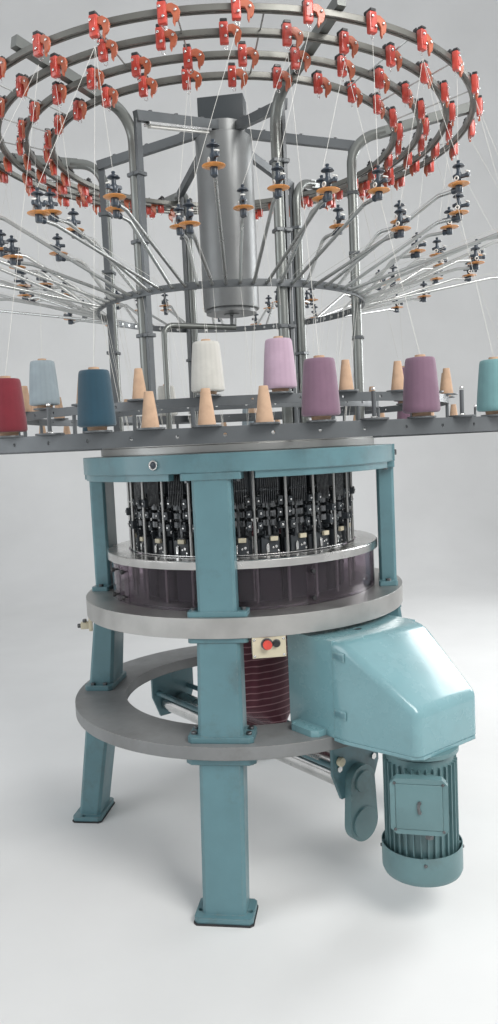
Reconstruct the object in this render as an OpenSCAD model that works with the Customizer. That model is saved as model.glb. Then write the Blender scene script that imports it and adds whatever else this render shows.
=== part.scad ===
// Large circular knitting machine with a revolving creel.
// The frame, the needle cylinder and the take-down stand still. The cam ring,
// the knitting heads, the creel and the stop-motion crown revolve about Z.
// Origin on the floor on the machine's axis, front leg towards -Y.

/* [Base frame] */
// Thickness of the pad under each foot
pad_t = 6; // [4:1:12]
// Height of the lower legs, from pad to lower ring
lower_leg_h = 555; // [480:5:620]
// Outer radius of the lower ring
lower_ring_r = 747; // [735:1:780]
// Thickness of the lower ring
lower_ring_t = 47; // [35:1:60]
// Radius of the hole in the lower ring
lower_hole_r = 535; // [500:1:545]
// Height of the legs between the two rings
mid_leg_h = 365; // [340:5:420]
// Outer radius of the middle ring
mid_ring_r = 675; // [672:1:700]
// Thickness of the middle ring
mid_ring_t = 73; // [70:1:90]
// Radius of the hole in the middle ring
mid_hole_r = 300; // [285:1:320]
// Height of the upper posts
upper_post_h = 510; // [505:1:600]
// Width of an upper post
post_w = 140; // [110:1:150]
// Radius of the outer face of an upper post
post_face_r = 650; // [648:1:657]
// Depth of an upper post
post_d = 70; // [55:1:72]
// Width of a leg between the rings
mid_leg_w = 162; // [130:1:175]
// Width of a lower leg
lower_leg_w = 158; // [130:1:180]
// Radius of the outer face of a lower leg at the floor
foot_face_r = 790; // [770:1:830]
// Radius of each anchor hole in the feet
anchor_hole_r = 9; // [6:0.5:11]
// Distance between the two anchor holes of a foot
anchor_spacing = 176; // [172:1:180]

/* [Top ring] */
// Outer radius of the top ring beam
beam_r = 652; // [650:1:680]
// Radial width of the top ring beam
beam_w = 68; // [60:1:74]
// Height of the top ring beam
beam_h = 68; // [55:1:90]
// Outer radius of the revolving bearing band
band_r = 577; // [565:1:580]
// Height of the revolving bearing band
band_h = 61; // [45:1:80]

/* [Knitting unit] */
// Radius of the needle cylinder
cylinder_r = 381; // [370:1:384]
// Height of the needle cylinder above the middle ring
cylinder_h = 250; // [220:1:280]
// Outer radius of the clear guard
guard_r = 561; // [556:1:564]
// Height of the clear guard
guard_h = 156; // [120:1:190]
// Height of the polished rim on the guard
rim_h = 32; // [20:1:40]
// Number of knitting heads
head_count = 24; // [12:1:24]
// Radius of a pattern drum
drum_r = 30; // [24:1:31]
// Teeth on each wheel of a pattern drum
drum_teeth = 12; // [8:1:14]
// Wheels on each pattern drum
drum_wheels = 3; // [2:1:4]

/* [Drive] */
// Direction of the drive unit, from the right leg
gear_az = -44; // [-50:1:-40]
// Module of the ring gear
ring_module = 5; // [5:1:5]
// Radius of the drive shafts
shaft_r = 16; // [12:0.5:18]
// Radial clearance of a running shaft
run_fit = 0.05; // [0.03:0.01:0.08]
// Half width of the gear case
case_half_w = 220; // [214:1:226]
// Shift of the gear case away from the front leg
case_shift = 30; // [24:1:36]
// Half width of the hood at its outer end
hood_end_half_w = 158; // [150:1:170]
// Radius at which the hood meets the gear case
hood_r = 738; // [730:1:745]
// Length of the hood
hood_l = 324; // [315:1:340]
// Wall of the hood
hood_wall = 4; // [3:0.5:6]
// Radius of the motor's fins
motor_r = 128; // [115:1:132]
// Height of the motor's finned body
motor_h = 350; // [346:1:354]
// Radius of the motor's fan cowl
cowl_r = 138; // [134:1:145]
// Height of the fan cowl
cowl_h = 104; // [102:1:110]

/* [Take-down] */
// Radius of a take-down roller
roller_r = 38; // [30:1:40]
// Height of the roller axes above the floor
roller_z = 380; // [340:1:420]
// Distance of each side plate from the machine's axis
plate_r = 640; // [630:1:650]
// Radius of the fabric tube at its waist
fabric_r = 214; // [180:1:240]

/* [Creel] */
// Number of creel posts
post_count = 6; // [6:1:6]
// Radius of the circle of creel posts
creel_post_r = 522; // [520:1:524]
// Radius of a creel post tube
tube_r = 20; // [16:1:22]
// Radius of the outer creel ring
outer_ring_r = 1250; // [1150:5:1280]
// Height of the outer creel ring's bar
outer_bar_h = 45; // [30:1:50]
// Radius of the middle creel ring
middle_ring_r = 880; // [820:5:950]
// Radius of the inner creel ring
inner_ring_r = 600; // [590:1:640]
// Cone positions on the outer ring
outer_cones = 50; // [46:1:52]
// Cone positions on the middle ring
middle_cones = 24; // [12:1:28]
// Height of an empty paper cone
cone_h = 100; // [80:1:150]
// Height of a wound yarn package
package_h = 155; // [120:1:180]
// Lower radius of a wound yarn package
package_r = 54; // [45:1:60]

/* [Yarn feed] */
// Height of the spoke ring above the bearing band
spoke_ring_up = 516; // [450:1:560]
// Outer radius of the spoke ring
spoke_ring_r = 558; // [556:1:570]
// Number of yarn rods
rod_count = 72; // [24:8:72]
// Radius of a yarn rod
rod_r = 6; // [4:0.5:7]
// Radius of a tension disc
disc_r = 33; // [25:1:36]

/* [Crown] */
// Straight height of a creel post above the bearing band
post_rise = 1074; // [1000:1:1100]
// Bend radius of a creel post
bend_r = 110; // [90:1:140]
// Slope of the crown arms
arm_slope = 9.8; // [6:0.1:13]
// Radius of the smallest crown ring
crown_r = 695; // [690:1:710]
// Step in radius from one crown ring to the next
crown_step = 100.5; // [80:0.5:105]
// Number of crown rings
crown_count = 4; // [2:1:4]
// Width of a crown ring's section
crown_w = 22; // [16:1:26]
// Stop motions on each crown ring
stop_count = 30; // [12:6:30]
// Radius of the central drum
core_r = 118; // [110:1:125]
// Height of the central drum
core_h = 695; // [650:5:700]

/* [Hidden] */
eps = 0.01;
// Running gap between a revolving face and a fixed one
run_gap = 0.3;

// Levels of the fixed frame
lower_ring_z = pad_t + lower_leg_h;
lower_top_z = lower_ring_z + lower_ring_t;
mid_ring_z = lower_top_z + mid_leg_h;
mid_top_z = mid_ring_z + mid_ring_t;
beam_z = mid_top_z + upper_post_h;
beam_top_z = beam_z + beam_h;
rim_z = mid_top_z + guard_h;
rim_top_z = rim_z + rim_h;

// Channel of the ring gear inside the middle ring
channel_floor = 20;
race_h = 8;
channel_z = mid_ring_z + channel_floor;
gear_z = channel_z + race_h + run_gap;
ring_gear_h = 26;
cam_z = gear_z + ring_gear_h;
cam_h = 26;
cam_top_z = cam_z + cam_h;
cover_r = 545;
cover_t = 14;
channel_inner_r = cylinder_r + 14;
channel_outer_r = mid_ring_r - 30;

// Gears of the drive
ring_teeth = 212;
pinion_teeth = 20;
ring_pitch_r = ring_module * ring_teeth / 2;
pinion_pitch_r = ring_module * pinion_teeth / 2;
drive_axis_r = ring_pitch_r + pinion_pitch_r;
case_module = 3.3;
big_teeth = 40;
small_teeth = 18;
big_pitch_r = case_module * big_teeth / 2;
small_pitch_r = case_module * small_teeth / 2;
lay_axis_r = drive_axis_r + big_pitch_r + small_pitch_r;
// Distance of the motor's axis from the outer end of the hood
motor_end_gap = 107;
motor_axis_r = hood_r + hood_l - motor_end_gap;
big_pulley_r = 140;
small_pulley_r = 35;
belt_count = 3;
belt_pitch = 16;
belt_w = 10;
belt_t = 9;
pulley_z = lower_top_z + 30;
pulley_h = belt_count * belt_pitch + 6;
// Bearing shelf between the pulleys and the gears
shelf_z = pulley_z + pulley_h + 8;
shelf_t = 12;
stage_z = shelf_z + shelf_t + 10;
stage_h = 28;

// Gear case, hood and tray
case_wall = 8;
// Space between the large gear and the inner side of the case
case_gear_gap = 14;
case_in_r = drive_axis_r - big_pitch_r - case_gear_gap;
case_floor_z = lower_top_z + 16;
case_top_z = mid_ring_z - 18;
tray_t = 12;
tray_z = lower_top_z - 8;
hood_z = tray_z + tray_t + run_gap;
hood_break_l = 47;
hood_low_h = 150;
hood_round = 22;
motor_top_z = tray_z;
motor_z = motor_top_z - motor_h - 24;
cowl_z = motor_z - cowl_h + 30;

// Top ring and revolving band
leg_az = [-90, 0, 90, 180];
band_z = beam_top_z + 3;
band_top_z = band_z + band_h;
plate_t = 22;
plate_in_r = 330;
rod_circle_r = 474;

// Creel
arm_count = 12;
arm_w = 30;
arm_t = 12;
arm_top_z = band_top_z + arm_t;
bar_t = 6;
outer_bar_z = arm_top_z - outer_bar_h;
upright_h = 74;
middle_bar_h = 30;
inner_bar_h = 32;
high_bar_z = arm_top_z + upright_h;
tray_plate_r = 41;
tray_plate_t = 4;
spoke_z = band_top_z + spoke_ring_up;
spoke_bar_h = 26;
elbow_z = band_top_z + post_rise;
elbow_turn = 90 - arm_slope;
arm_start_r = creel_post_r + bend_r * (1 - cos(elbow_turn));
arm_start_z = elbow_z + bend_r * sin(elbow_turn);
crown_end_r = crown_r + crown_step * (crown_count - 1) + 25;
post_az = [for (i = [0:post_count - 1]) -60 + 360 / post_count * i];
// Top of the central drum above the start of the crown arms
core_top_up = 40;
core_z = arm_start_z - core_h + core_top_up;
core_top_z = core_z + core_h;

// Colours
blue_green = [0.36, 0.51, 0.54];
ring_grey = [0.52, 0.52, 0.50];
steel = [0.72, 0.73, 0.74];
dark_steel = [0.16, 0.18, 0.20];
smoke = [0.30, 0.22, 0.28];
cream = [0.85, 0.82, 0.70];
fabric_red = [0.42, 0.10, 0.14];
paper_tan = [0.80, 0.62, 0.45];
yarn_teal = [0.13, 0.36, 0.46];
grey_paint = [0.47, 0.49, 0.50];
signal_red = [0.80, 0.20, 0.15];
amber = [0.90, 0.50, 0.20];

// Quarter or part bend of a round tube. It starts upwards at the origin and turns
// towards +X. It is a hair thicker than the straight tubes that enter its ends.
bend_lap = 1;
bend_over = 0.15;
module tube_bend(r_bend, r_tube, turn) {
  translate([r_bend, 0, 0]) rotate([90, 0, 180])
    rotate_extrude(angle = turn, $fn = 96)
      translate([r_bend, 0]) circle(r = r_tube + bend_over, $fn = 32);
}

// Flat ring from inner to outer radius, standing on z
module ring_plate(r_out, r_in, z, h) {
  translate([0, 0, z])
    difference() {
      cylinder(r = r_out, h = h, $fn = 180);
      translate([0, 0, -1]) cylinder(r = r_in, h = h + 2, $fn = 180);
    }
}

// Rectangle with cut corners, centred
module cut_rect(d, w, c) {
  polygon([
    [-d / 2 + c, -w / 2], [d / 2 - c, -w / 2], [d / 2, -w / 2 + c], [d / 2, w / 2 - c],
    [d / 2 - c, w / 2], [-d / 2 + c, w / 2], [-d / 2, w / 2 - c], [-d / 2, -w / 2 + c]
  ]);
}

// Block with cut corners between two radii, centred on the X axis
module cut_block(r_in, r_out, w, z, h, c) {
  translate([(r_in + r_out) / 2, 0, z]) linear_extrude(h) cut_rect(r_out - r_in, w, c);
}

// Gear outline with straight flanks
module gear_outline(teeth, m, backlash) {
  pitch = m * teeth / 2;
  tip = pitch + 0.85 * m;
  root = pitch - 1.25 * m;
  half = PI * m / 4 - backlash / 2;
  tip_a = (half - 0.85 * m * tan(20)) / tip * 180 / PI;
  root_a = (half + 1.25 * m * tan(20)) / root * 180 / PI;
  polygon([
    for (i = [0:teeth - 1])
      for (p = [[root, -root_a], [tip, -tip_a], [tip, tip_a], [root, root_a]])
        let (a = 360 / teeth * i + p[1]) [p[0] * cos(a), p[0] * sin(a)]
  ]);
}

// Lower leg, splayed outwards, with a flange under the ring and a drilled foot
foot_h = 20;
// Metal beside each anchor hole, from its centre to the foot's side
foot_side = 15;
foot_w = anchor_spacing + 2 * foot_side;
foot_depth = 130;
leg_flange_w = 250;
leg_flange_t = 25;
lower_top_face_r = 720;
module lower_leg(az) {
  foot_in_r = foot_face_r + 22 - foot_depth;
  color(blue_green) rotate([0, 0, az])
    difference() {
      union() {
        cut_block(foot_in_r, foot_face_r + 22, foot_w, pad_t, foot_h, 12);
        cut_block(lower_top_face_r - 118, lower_top_face_r + 6, leg_flange_w,
          lower_ring_z - leg_flange_t, leg_flange_t, 22);
        hull() {
          cut_block(foot_face_r - 96, foot_face_r, lower_leg_w - 4, pad_t + foot_h - 1, 1, 12);
          cut_block(lower_top_face_r - 110, lower_top_face_r, lower_leg_w,
            lower_ring_z - leg_flange_t, 1, 12);
        }
      }
      for (side = [-1, 1])
        translate([foot_face_r - 30, side * anchor_spacing / 2, pad_t - 1])
          cylinder(r = anchor_hole_r, h = foot_h + 2, $fn = 48);
    }
}

// Rubber pads under the feet
module foot_pads() {
  color([0.10, 0.10, 0.11])
    for (az = leg_az) rotate([0, 0, az])
      difference() {
        cut_block(foot_face_r + 18 - foot_depth, foot_face_r + 26, foot_w + 6, 0, pad_t, 12);
        for (side = [-1, 1])
          translate([foot_face_r - 30, side * anchor_spacing / 2, -1])
            cylinder(r = anchor_hole_r, h = pad_t + 2, $fn = 48);
      }
}

module lower_ring() {
  color(ring_grey) ring_plate(lower_ring_r, lower_hole_r, lower_ring_z, lower_ring_t);
}

// Leg between the two rings, with a flange at each end
mid_foot_w = 235;
mid_foot_t = 22;
mid_head_w = 216;
mid_head_t = 18;
module mid_leg(az) {
  color(blue_green) rotate([0, 0, az]) {
    cut_block(588, 712, mid_foot_w, lower_top_z, mid_foot_t, 14);
    cut_block(562, 664, mid_head_w, mid_ring_z - mid_head_t, mid_head_t, 10);
    hull() {
      cut_block(594, 703, mid_leg_w, lower_top_z + mid_foot_t - 1, 1, 12);
      cut_block(566, 660, mid_leg_w - 6, mid_ring_z - mid_head_t, 1, 12);
    }
  }
}

// Middle ring: a channel that houses the ring gear
module middle_ring() {
  color([0.60, 0.58, 0.55])
    difference() {
      union() {
        rotate_extrude($fn = 180)
          polygon([
            [mid_hole_r, mid_ring_z], [mid_ring_r, mid_ring_z], [mid_ring_r, mid_top_z],
            [cover_r, mid_top_z], [cover_r, mid_top_z - cover_t],
            [channel_outer_r, mid_top_z - cover_t], [channel_outer_r, channel_z],
            [channel_inner_r, channel_z], [channel_inner_r, mid_top_z], [mid_hole_r, mid_top_z]
          ]);
        ring_plate(480, 430, channel_z - eps, race_h + eps);
      }
      rotate([0, 0, gear_az]) translate([drive_axis_r, 0, mid_ring_z - 1])
        cylinder(r = shaft_r + run_fit, h = channel_floor + 2, $fn = 64);
    }
}

// Upper post with a T flange at each end
post_flange_w = 216;
post_foot_t = 19;
post_head_t = 25;
module upper_post(az) {
  in_r = post_face_r - post_d;
  color(blue_green) rotate([0, 0, az]) {
    cut_block(in_r - 3, post_face_r + 3, post_flange_w, mid_top_z, post_foot_t, 6);
    cut_block(in_r - 3, post_face_r + 3, post_flange_w, beam_z - post_head_t, post_head_t, 6);
    cut_block(in_r, post_face_r, post_w, mid_top_z + post_foot_t - eps,
      upper_post_h - post_foot_t - post_head_t + 2 * eps, 10);
  }
}

// Top ring beam with three corner blocks, lips between the posts and a sight glass
lip_h = 25;
lip_angle = 31;
module top_ring() {
  color(blue_green) {
    difference() {
      union() {
        ring_plate(beam_r, beam_r - beam_w, beam_z, beam_h);
        for (az = [0, 90, 180]) rotate([0, 0, az])
          cut_block(beam_r - beam_w + 12, beam_r + 5, 130, beam_z, beam_h, 4);
        for (az = leg_az) rotate([0, 0, az + 45 - lip_angle])
          translate([0, 0, beam_z - lip_h])
            rotate_extrude(angle = 2 * lip_angle, $fn = 180)
              translate([beam_r - 50, 0]) square([40, lip_h + 1]);
      }
      rotate([0, 0, -108.5]) translate([beam_r - 10, 0, beam_z + beam_h / 2])
        rotate([0, 90, 0]) cylinder(r = 14, h = 20, $fn = 48);
    }
    rotate([0, 0, -108.5]) translate([beam_r - 11, 0, beam_z + beam_h / 2]) rotate([0, 90, 0])
      difference() {
        cylinder(r = 18, h = 15, $fn = 48);
        translate([0, 0, -1]) cylinder(r = 13, h = 17, $fn = 48);
      }
  }
}

// Hexagon screws that hold the flanges, one group of separate pieces
screw_af = 19;
screw_h = 9;
module hex_head(z) {
  translate([0, 0, z]) cylinder(d = screw_af / cos(30), h = screw_h, $fn = 6);
}
module leg_screws() {
  color(dark_steel)
    for (az = leg_az) rotate([0, 0, az]) for (side = [-1, 1]) {
      for (r = [622, 676]) translate([r, side * 99, 0]) hex_head(lower_top_z + mid_foot_t);
      for (r = [635, 690])
        translate([r, side * 104, 0]) hex_head(lower_ring_z - leg_flange_t - screw_h);
      translate([post_face_r - post_d / 2, side * 90, 0]) hex_head(mid_top_z + post_foot_t);
      translate([post_face_r - post_d / 2, side * 90, 0])
        hex_head(beam_z - post_head_t - screw_h);
    }
}

// Clear guard round the cam ring, in two halves with a joint strip
guard_t = 5;
module clear_guard() {
  color(smoke)
    for (half = [0, 180]) rotate([0, 0, half + 35.2])
      translate([0, 0, mid_top_z])
        rotate_extrude(angle = 179.6, $fn = 180) translate([guard_r - guard_t, 0]) square([guard_t, guard_h]);
}

// Polished rim that sits on the guard
rim_in_r = 486;
module guard_rim() {
  color(steel)
    translate([0, 0, rim_z])
      rotate_extrude($fn = 180)
        polygon([
          [guard_r - guard_t - 3, 0], [guard_r + 15, 0], [guard_r + 15, rim_h - 4],
          [guard_r + 11, rim_h], [rim_in_r, rim_h], [rim_in_r, rim_h - 5],
          [guard_r - guard_t - 3, rim_h - 5]
        ]);
}

// Needle cylinder with its foot flange and needle slots at the top
slot_count = 72;
flange_in_r = 330;
bore_r = cylinder_r - 22;
module needle_cylinder() {
  color(steel)
    difference() {
      translate([0, 0, mid_top_z])
        rotate_extrude($fn = 180)
          polygon([
            [flange_in_r, 0], [cylinder_r + 11, 0], [cylinder_r + 11, 14], [cylinder_r, 14],
            [cylinder_r, cylinder_h],
            [cylinder_r - 18, cylinder_h], [bore_r, cylinder_h - 12],
            [bore_r, 20], [flange_in_r, 20]
          ]);
      for (i = [0:slot_count - 1]) rotate([0, 0, 360 / slot_count * i])
        translate([cylinder_r - 6, -2, mid_top_z + cylinder_h - 60]) cube([12, 4, 70]);
    }
}

// Gear case that stands on the lower ring, open towards the hood
module gear_case() {
  h = case_top_z - lower_top_z;
  color(blue_green) rotate([0, 0, gear_az])
    difference() {
      union() {
        translate([case_in_r, case_shift - case_half_w, lower_top_z])
          cube([hood_r - case_in_r, 2 * case_half_w, h]);
        translate([0, case_shift, 0])
          cut_block(case_in_r + 50, hood_r - 45, 2 * case_half_w + 110, lower_top_z, 24, 20);
      }
      translate([case_in_r + case_wall, case_shift - case_half_w + case_wall, case_floor_z])
        cube([hood_r - case_in_r, 2 * (case_half_w - case_wall), shelf_z - case_floor_z]);
      translate([case_in_r + case_wall, case_shift - case_half_w + case_wall, shelf_z + shelf_t])
        cube([hood_r - case_in_r, 2 * (case_half_w - case_wall),
          case_top_z - case_wall - shelf_z - shelf_t]);
      translate([lay_axis_r, 0, lower_top_z + 4])
        cylinder(r = shaft_r + run_fit, h = h, $fn = 64);
      translate([drive_axis_r, 0, shelf_z - 1])
        cylinder(r = shaft_r + run_fit, h = h, $fn = 64);
    }
}

// Plan of the hood, with the open side at hood_r
module hood_plan(inset) {
  translate([0, case_shift]) polygon([
    [0, -case_half_w + inset], [hood_break_l, -case_half_w + inset],
    [hood_l - 30 - inset, -hood_end_half_w + inset - 4],
    [hood_l - inset, -hood_end_half_w + inset + 26],
    [hood_l - inset, hood_end_half_w - inset - 26],
    [hood_l - 30 - inset, hood_end_half_w - inset + 4],
    [hood_break_l, case_half_w - inset], [0, case_half_w - inset]
  ]);
}

// Round-edged solid form of the hood, used for its outside and its inside
module hood_form(inset, overrun) {
  r = hood_round - inset;
  top = case_top_z - hood_z - inset;
  low = hood_low_h - inset;
  back_x = hood_r - overrun;
  translate([0, case_shift, 0]) hull() {
    for (side = [-1, 1]) {
      for (x = [back_x - hood_r, hood_break_l])
        translate([hood_r + x, side * (case_half_w - hood_round), hood_z + top - r])
          rotate([0, 90, 0]) cylinder(r = r, h = 1, $fn = 24);
      translate([back_x, side * (case_half_w - hood_round), hood_z - overrun])
        translate([0, -r, 0]) cube([hood_break_l, 2 * r, 1]);
      translate([hood_r + hood_l - hood_round - 6, side * (hood_end_half_w - hood_round), hood_z + low - r])
        sphere(r = r, $fn = 24);
      translate([hood_r + hood_l - hood_round - 6, side * (hood_end_half_w - hood_round), hood_z - overrun])
        cylinder(r = r + 4, h = 1, $fn = 24);
    }
  }
}

// Removable hood over the belts, with a pair of grips in each side
module gear_hood() {
  color(blue_green) rotate([0, 0, gear_az])
    difference() {
      hood_form(0, 0);
      difference() {
        hood_form(hood_wall, 5);
        for (side = [-1, 1]) for (z = [60, 290])
          translate([hood_r + 8, case_shift + side * (case_half_w - 8) - 12, hood_z + z]) cube([70, 24, 50]);
      }
      for (side = [-1, 1]) for (z = [60, 290])
        translate([hood_r + 14, case_shift + side * (case_half_w + 2) - 10, hood_z + z + 8]) cube([56, 20, 34]);
    }
}

// Tray under the hood, carried by the gear case, with the motor hung below
module hood_tray() {
  color(blue_green) rotate([0, 0, gear_az])
    difference() {
      union() {
        translate([hood_r, 0, tray_z]) linear_extrude(tray_t) hood_plan(-3);
      }
      translate([0, 0, tray_z - 1])
        cylinder(r = lower_ring_r + 2, h = lower_top_z - tray_z + 1, $fn = 180);
      translate([motor_axis_r, 0, tray_z - 1]) cylinder(r = 50, h = tray_t + 2, $fn = 64);
    }
}

// Vertical motor: flange, finned body and a collar for the cowl
fin_count = 32;
motor_core_r = motor_r - 14;
box_az = -95;
box_z = motor_z + 234;
box_base_r = motor_r + 2;
module motor_body() {
  color(blue_green) rotate([0, 0, gear_az]) translate([motor_axis_r, 0, 0])
    difference() {
      union() {
        translate([0, 0, motor_top_z - 14]) cylinder(r = motor_r + 4, h = 14, $fn = 96);
        translate([0, 0, motor_z + motor_h - 10]) cylinder(r = 104, h = 20, $fn = 96);
        translate([0, 0, motor_z]) cylinder(r = motor_core_r, h = motor_h, $fn = 96);
        rotate([0, 0, box_az - gear_az]) translate([motor_core_r - 24, -48, box_z - 78])
          cube([box_base_r - motor_core_r + 24, 96, 156]);
        for (i = [0:fin_count - 1]) rotate([0, 0, 360 / fin_count * (i + 0.5)])
          translate([motor_r - 20, -2, motor_z + 12]) cube([18, 4, motor_h - 34]);
      }
      translate([0, 0, motor_z - 1]) cylinder(r = shaft_r + run_fit, h = motor_h + 60, $fn = 64);
    }
}

// Terminal box on the side of the motor, with a cable inlet in its underside
box_w = 184;
box_h = 186;
box_d = 62;
inlet_r = 10.2;
module terminal_box() {
  color(blue_green) rotate([0, 0, gear_az]) translate([motor_axis_r, 0, 0])
    rotate([0, 0, box_az - gear_az])
      difference() {
        union() {
          translate([box_base_r, -46, box_z - 75]) cube([20, 92, 150]);
          translate([box_base_r + 16, 0, box_z]) rotate([0, 90, 0])
            linear_extrude(26) cut_rect(box_h - 10, box_w - 10, 14);
          translate([box_base_r + 42 - eps, 0, box_z]) rotate([0, 90, 0])
            linear_extrude(box_d - 42) cut_rect(box_h, box_w, 18);
        }
        translate([box_base_r + 19, -60, box_z - 65]) cube([31, 120, 130]);
        translate([box_base_r + 30, 30, box_z - 105]) cylinder(r = inlet_r, h = 60, $fn = 48);
      }
}

// Fan cowl under the motor, with a ring of air slots in its floor
module fan_cowl() {
  color(blue_green) rotate([0, 0, gear_az]) translate([motor_axis_r, 0, cowl_z])
    difference() {
      union() {
        rotate_extrude($fn = 96)
          polygon([
            [0, 0], [cowl_r - 18, 0], [cowl_r - 5, 5], [cowl_r, 18], [cowl_r, cowl_h],
            [cowl_r - 3, cowl_h], [cowl_r - 3, 18], [cowl_r - 8, 7], [cowl_r - 18, 3], [0, 3]
          ]);
        for (i = [0:3]) rotate([0, 0, 90 * i + 45])
          translate([motor_core_r + 0.2, -8, cowl_h - 40]) cube([cowl_r - motor_core_r - 2, 16, 34]);
      }
      for (i = [0:11]) rotate([0, 0, 30 * i])
        translate([34, -5, -1]) cube([76, 10, 6]);
    }
}

// Motor shaft with its small pulley and cooling fan
module motor_shaft() {
  color(steel) rotate([0, 0, gear_az]) translate([motor_axis_r, 0, 0]) {
    translate([0, 0, cowl_z + 20]) cylinder(r = shaft_r, h = pulley_z + pulley_h - cowl_z - 20, $fn = 64);
    pulley(small_pulley_r);
    translate([0, 0, cowl_z + 30]) cylinder(r = 34, h = 40, $fn = 48);
    for (i = [0:5]) rotate([0, 0, 60 * i])
      translate([30, -2, cowl_z + 34]) cube([70, 4, 36]);
  }
}

// V-belt pulley with one groove for each belt
module pulley(r) {
  translate([0, 0, pulley_z])
    rotate_extrude($fn = 96)
      polygon(concat(
        [[0, 0], [r + 4, 0]],
        [for (i = [0:belt_count - 1])
          for (p = [[r + 4, 4], [r - 6, 6], [r - 6, belt_w + 4], [r + 4, belt_w + 6]])
            [p[0], p[1] + belt_pitch * i + 1]],
        [[r + 4, pulley_h], [0, pulley_h]]
      ));
}

// Endless belts from the motor pulley to the large pulley
module belt_loop(grow) {
  hull() {
    translate([motor_axis_r, 0]) circle(r = small_pulley_r - 5 + grow, $fn = 48);
    translate([lay_axis_r, 0]) circle(r = big_pulley_r - 5 + grow, $fn = 96);
  }
}
module drive_belts() {
  color([0.08, 0.08, 0.09]) rotate([0, 0, gear_az])
    for (i = [0:belt_count - 1])
      translate([0, 0, pulley_z + belt_pitch * i + 7.8])
        linear_extrude(belt_w - 3.6) difference() {
          belt_loop(belt_t);
          belt_loop(0);
        }
}

// Lay shaft: large pulley below, small gear above
module lay_shaft() {
  color(steel) rotate([0, 0, gear_az]) translate([lay_axis_r, 0, 0]) {
    translate([0, 0, lower_top_z + 4 + run_gap])
      cylinder(r = shaft_r, h = case_top_z - lower_top_z - 6, $fn = 64);
    pulley(big_pulley_r);
    translate([0, 0, stage_z]) rotate([0, 0, 180 / small_teeth])
      linear_extrude(stage_h) gear_outline(small_teeth, case_module, 1.3);
  }
}

// Drive shaft: large gear in the case, pinion in the middle ring
pinion_h = 22;
module drive_shaft() {
  color(steel) rotate([0, 0, gear_az]) translate([drive_axis_r, 0, 0]) {
    translate([0, 0, shelf_z]) cylinder(r = shaft_r, h = gear_z + pinion_h + 2 - shelf_z, $fn = 64);
    translate([0, 0, shelf_z + shelf_t + run_gap])
      cylinder(r = shaft_r + 10, h = stage_z + eps - shelf_z - shelf_t - run_gap, $fn = 64);
    translate([0, 0, stage_z]) linear_extrude(stage_h) gear_outline(big_teeth, case_module, 1.3);
    translate([0, 0, gear_z + 2]) rotate([0, 0, 180 / pinion_teeth])
      linear_extrude(pinion_h) gear_outline(pinion_teeth, ring_module, 1.5);
  }
}

// Ring gear under the cam ring
module ring_gear() {
  color(steel) rotate([0, 0, gear_az])
    translate([0, 0, gear_z]) linear_extrude(ring_gear_h) difference() {
      gear_outline(ring_teeth, ring_module, 1.5);
      circle(r = 440, $fn = 180);
    }
}

// Cam ring that carries the knitting heads
module cam_ring() {
  color(dark_steel) ring_plate(cover_r - 5, channel_inner_r + 3, cam_z, cam_h);
}

// Control box under the middle ring with a plain front plate
control_az = -74.4;
control_w = 120;
control_h = 75;
control_face_r = 672;
stop_x = -8;
start_x = 26;
button_z = 12;
module control_box() {
  color(cream) rotate([0, 0, control_az])
    difference() {
      union() {
        translate([control_face_r - 58, -control_w / 2 + 4, mid_ring_z - control_h + 3])
          cube([54, control_w - 8, control_h - 3]);
        translate([control_face_r - 4 - eps, -control_w / 2, mid_ring_z - control_h])
          cube([4, control_w, control_h]);
      }
      for (x = [stop_x, start_x])
        translate([control_face_r - 40, x, mid_ring_z - control_h / 2 + button_z]) rotate([0, 90, 0])
          cylinder(r = 7 + run_fit, h = 50, $fn = 48);
    }
}
module push_button(x, cap_r, cap_h, stand) {
  rotate([0, 0, control_az])
    translate([control_face_r - 30, x, mid_ring_z - control_h / 2 + button_z]) rotate([0, 90, 0]) {
      cylinder(r = 7, h = 30 + stand + 1, $fn = 48);
      translate([0, 0, 30 + stand]) cylinder(r = cap_r, h = cap_h, $fn = 48);
    }
}
module stop_button() { color(signal_red) push_button(stop_x, 16, 12, 10); }
module start_button() { color(dark_steel) push_button(start_x, 11, 6, 5); }

// Take-down frame: two side plates hung from the lower ring, joined by tie bars
plate_w = 240;
plate_t2 = 14;
journal_r = 15;
roller_gap = 1;
module takedown_frame() {
  color([0.25, 0.33, 0.34]) rotate([0, 0, gear_az])
    difference() {
      union() {
        for (side = [-1, 1]) {
          translate([side * plate_r - plate_t2 / 2, 0, 0]) rotate([90, 0, 90])
            linear_extrude(plate_t2)
              polygon([
                [-plate_w / 2, lower_ring_z], [-plate_w / 2, roller_z + 40],
                [-plate_w / 2 + 40, roller_z - 60], [plate_w / 2 - 40, roller_z - 60],
                [plate_w / 2, roller_z + 40], [plate_w / 2, lower_ring_z]
              ]);
        }
        for (y = [-90, 90]) translate([-plate_r, y, roller_z + 60]) rotate([0, 90, 0])
          cylinder(r = 12, h = 2 * plate_r, $fn = 32);
      }
      for (y = [-1, 1]) translate([-plate_r - 20, y * (roller_r + roller_gap), roller_z]) rotate([0, 90, 0])
        cylinder(r = journal_r + run_fit, h = 2 * plate_r + 40, $fn = 48);
    }
}
module roller(y) {
  color(dark_steel) rotate([0, 0, gear_az]) translate([0, y, roller_z]) rotate([0, 90, 0]) {
    translate([0, 0, -plate_r - 14]) cylinder(r = journal_r, h = 2 * plate_r + 28, $fn = 48);
    translate([0, 0, -plate_r + 16]) cylinder(r = roller_r, h = 2 * plate_r - 32, $fn = 64);
  }
}
module front_roller() { roller(-roller_r - roller_gap); }
module rear_roller() { roller(roller_r + roller_gap); }

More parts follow.
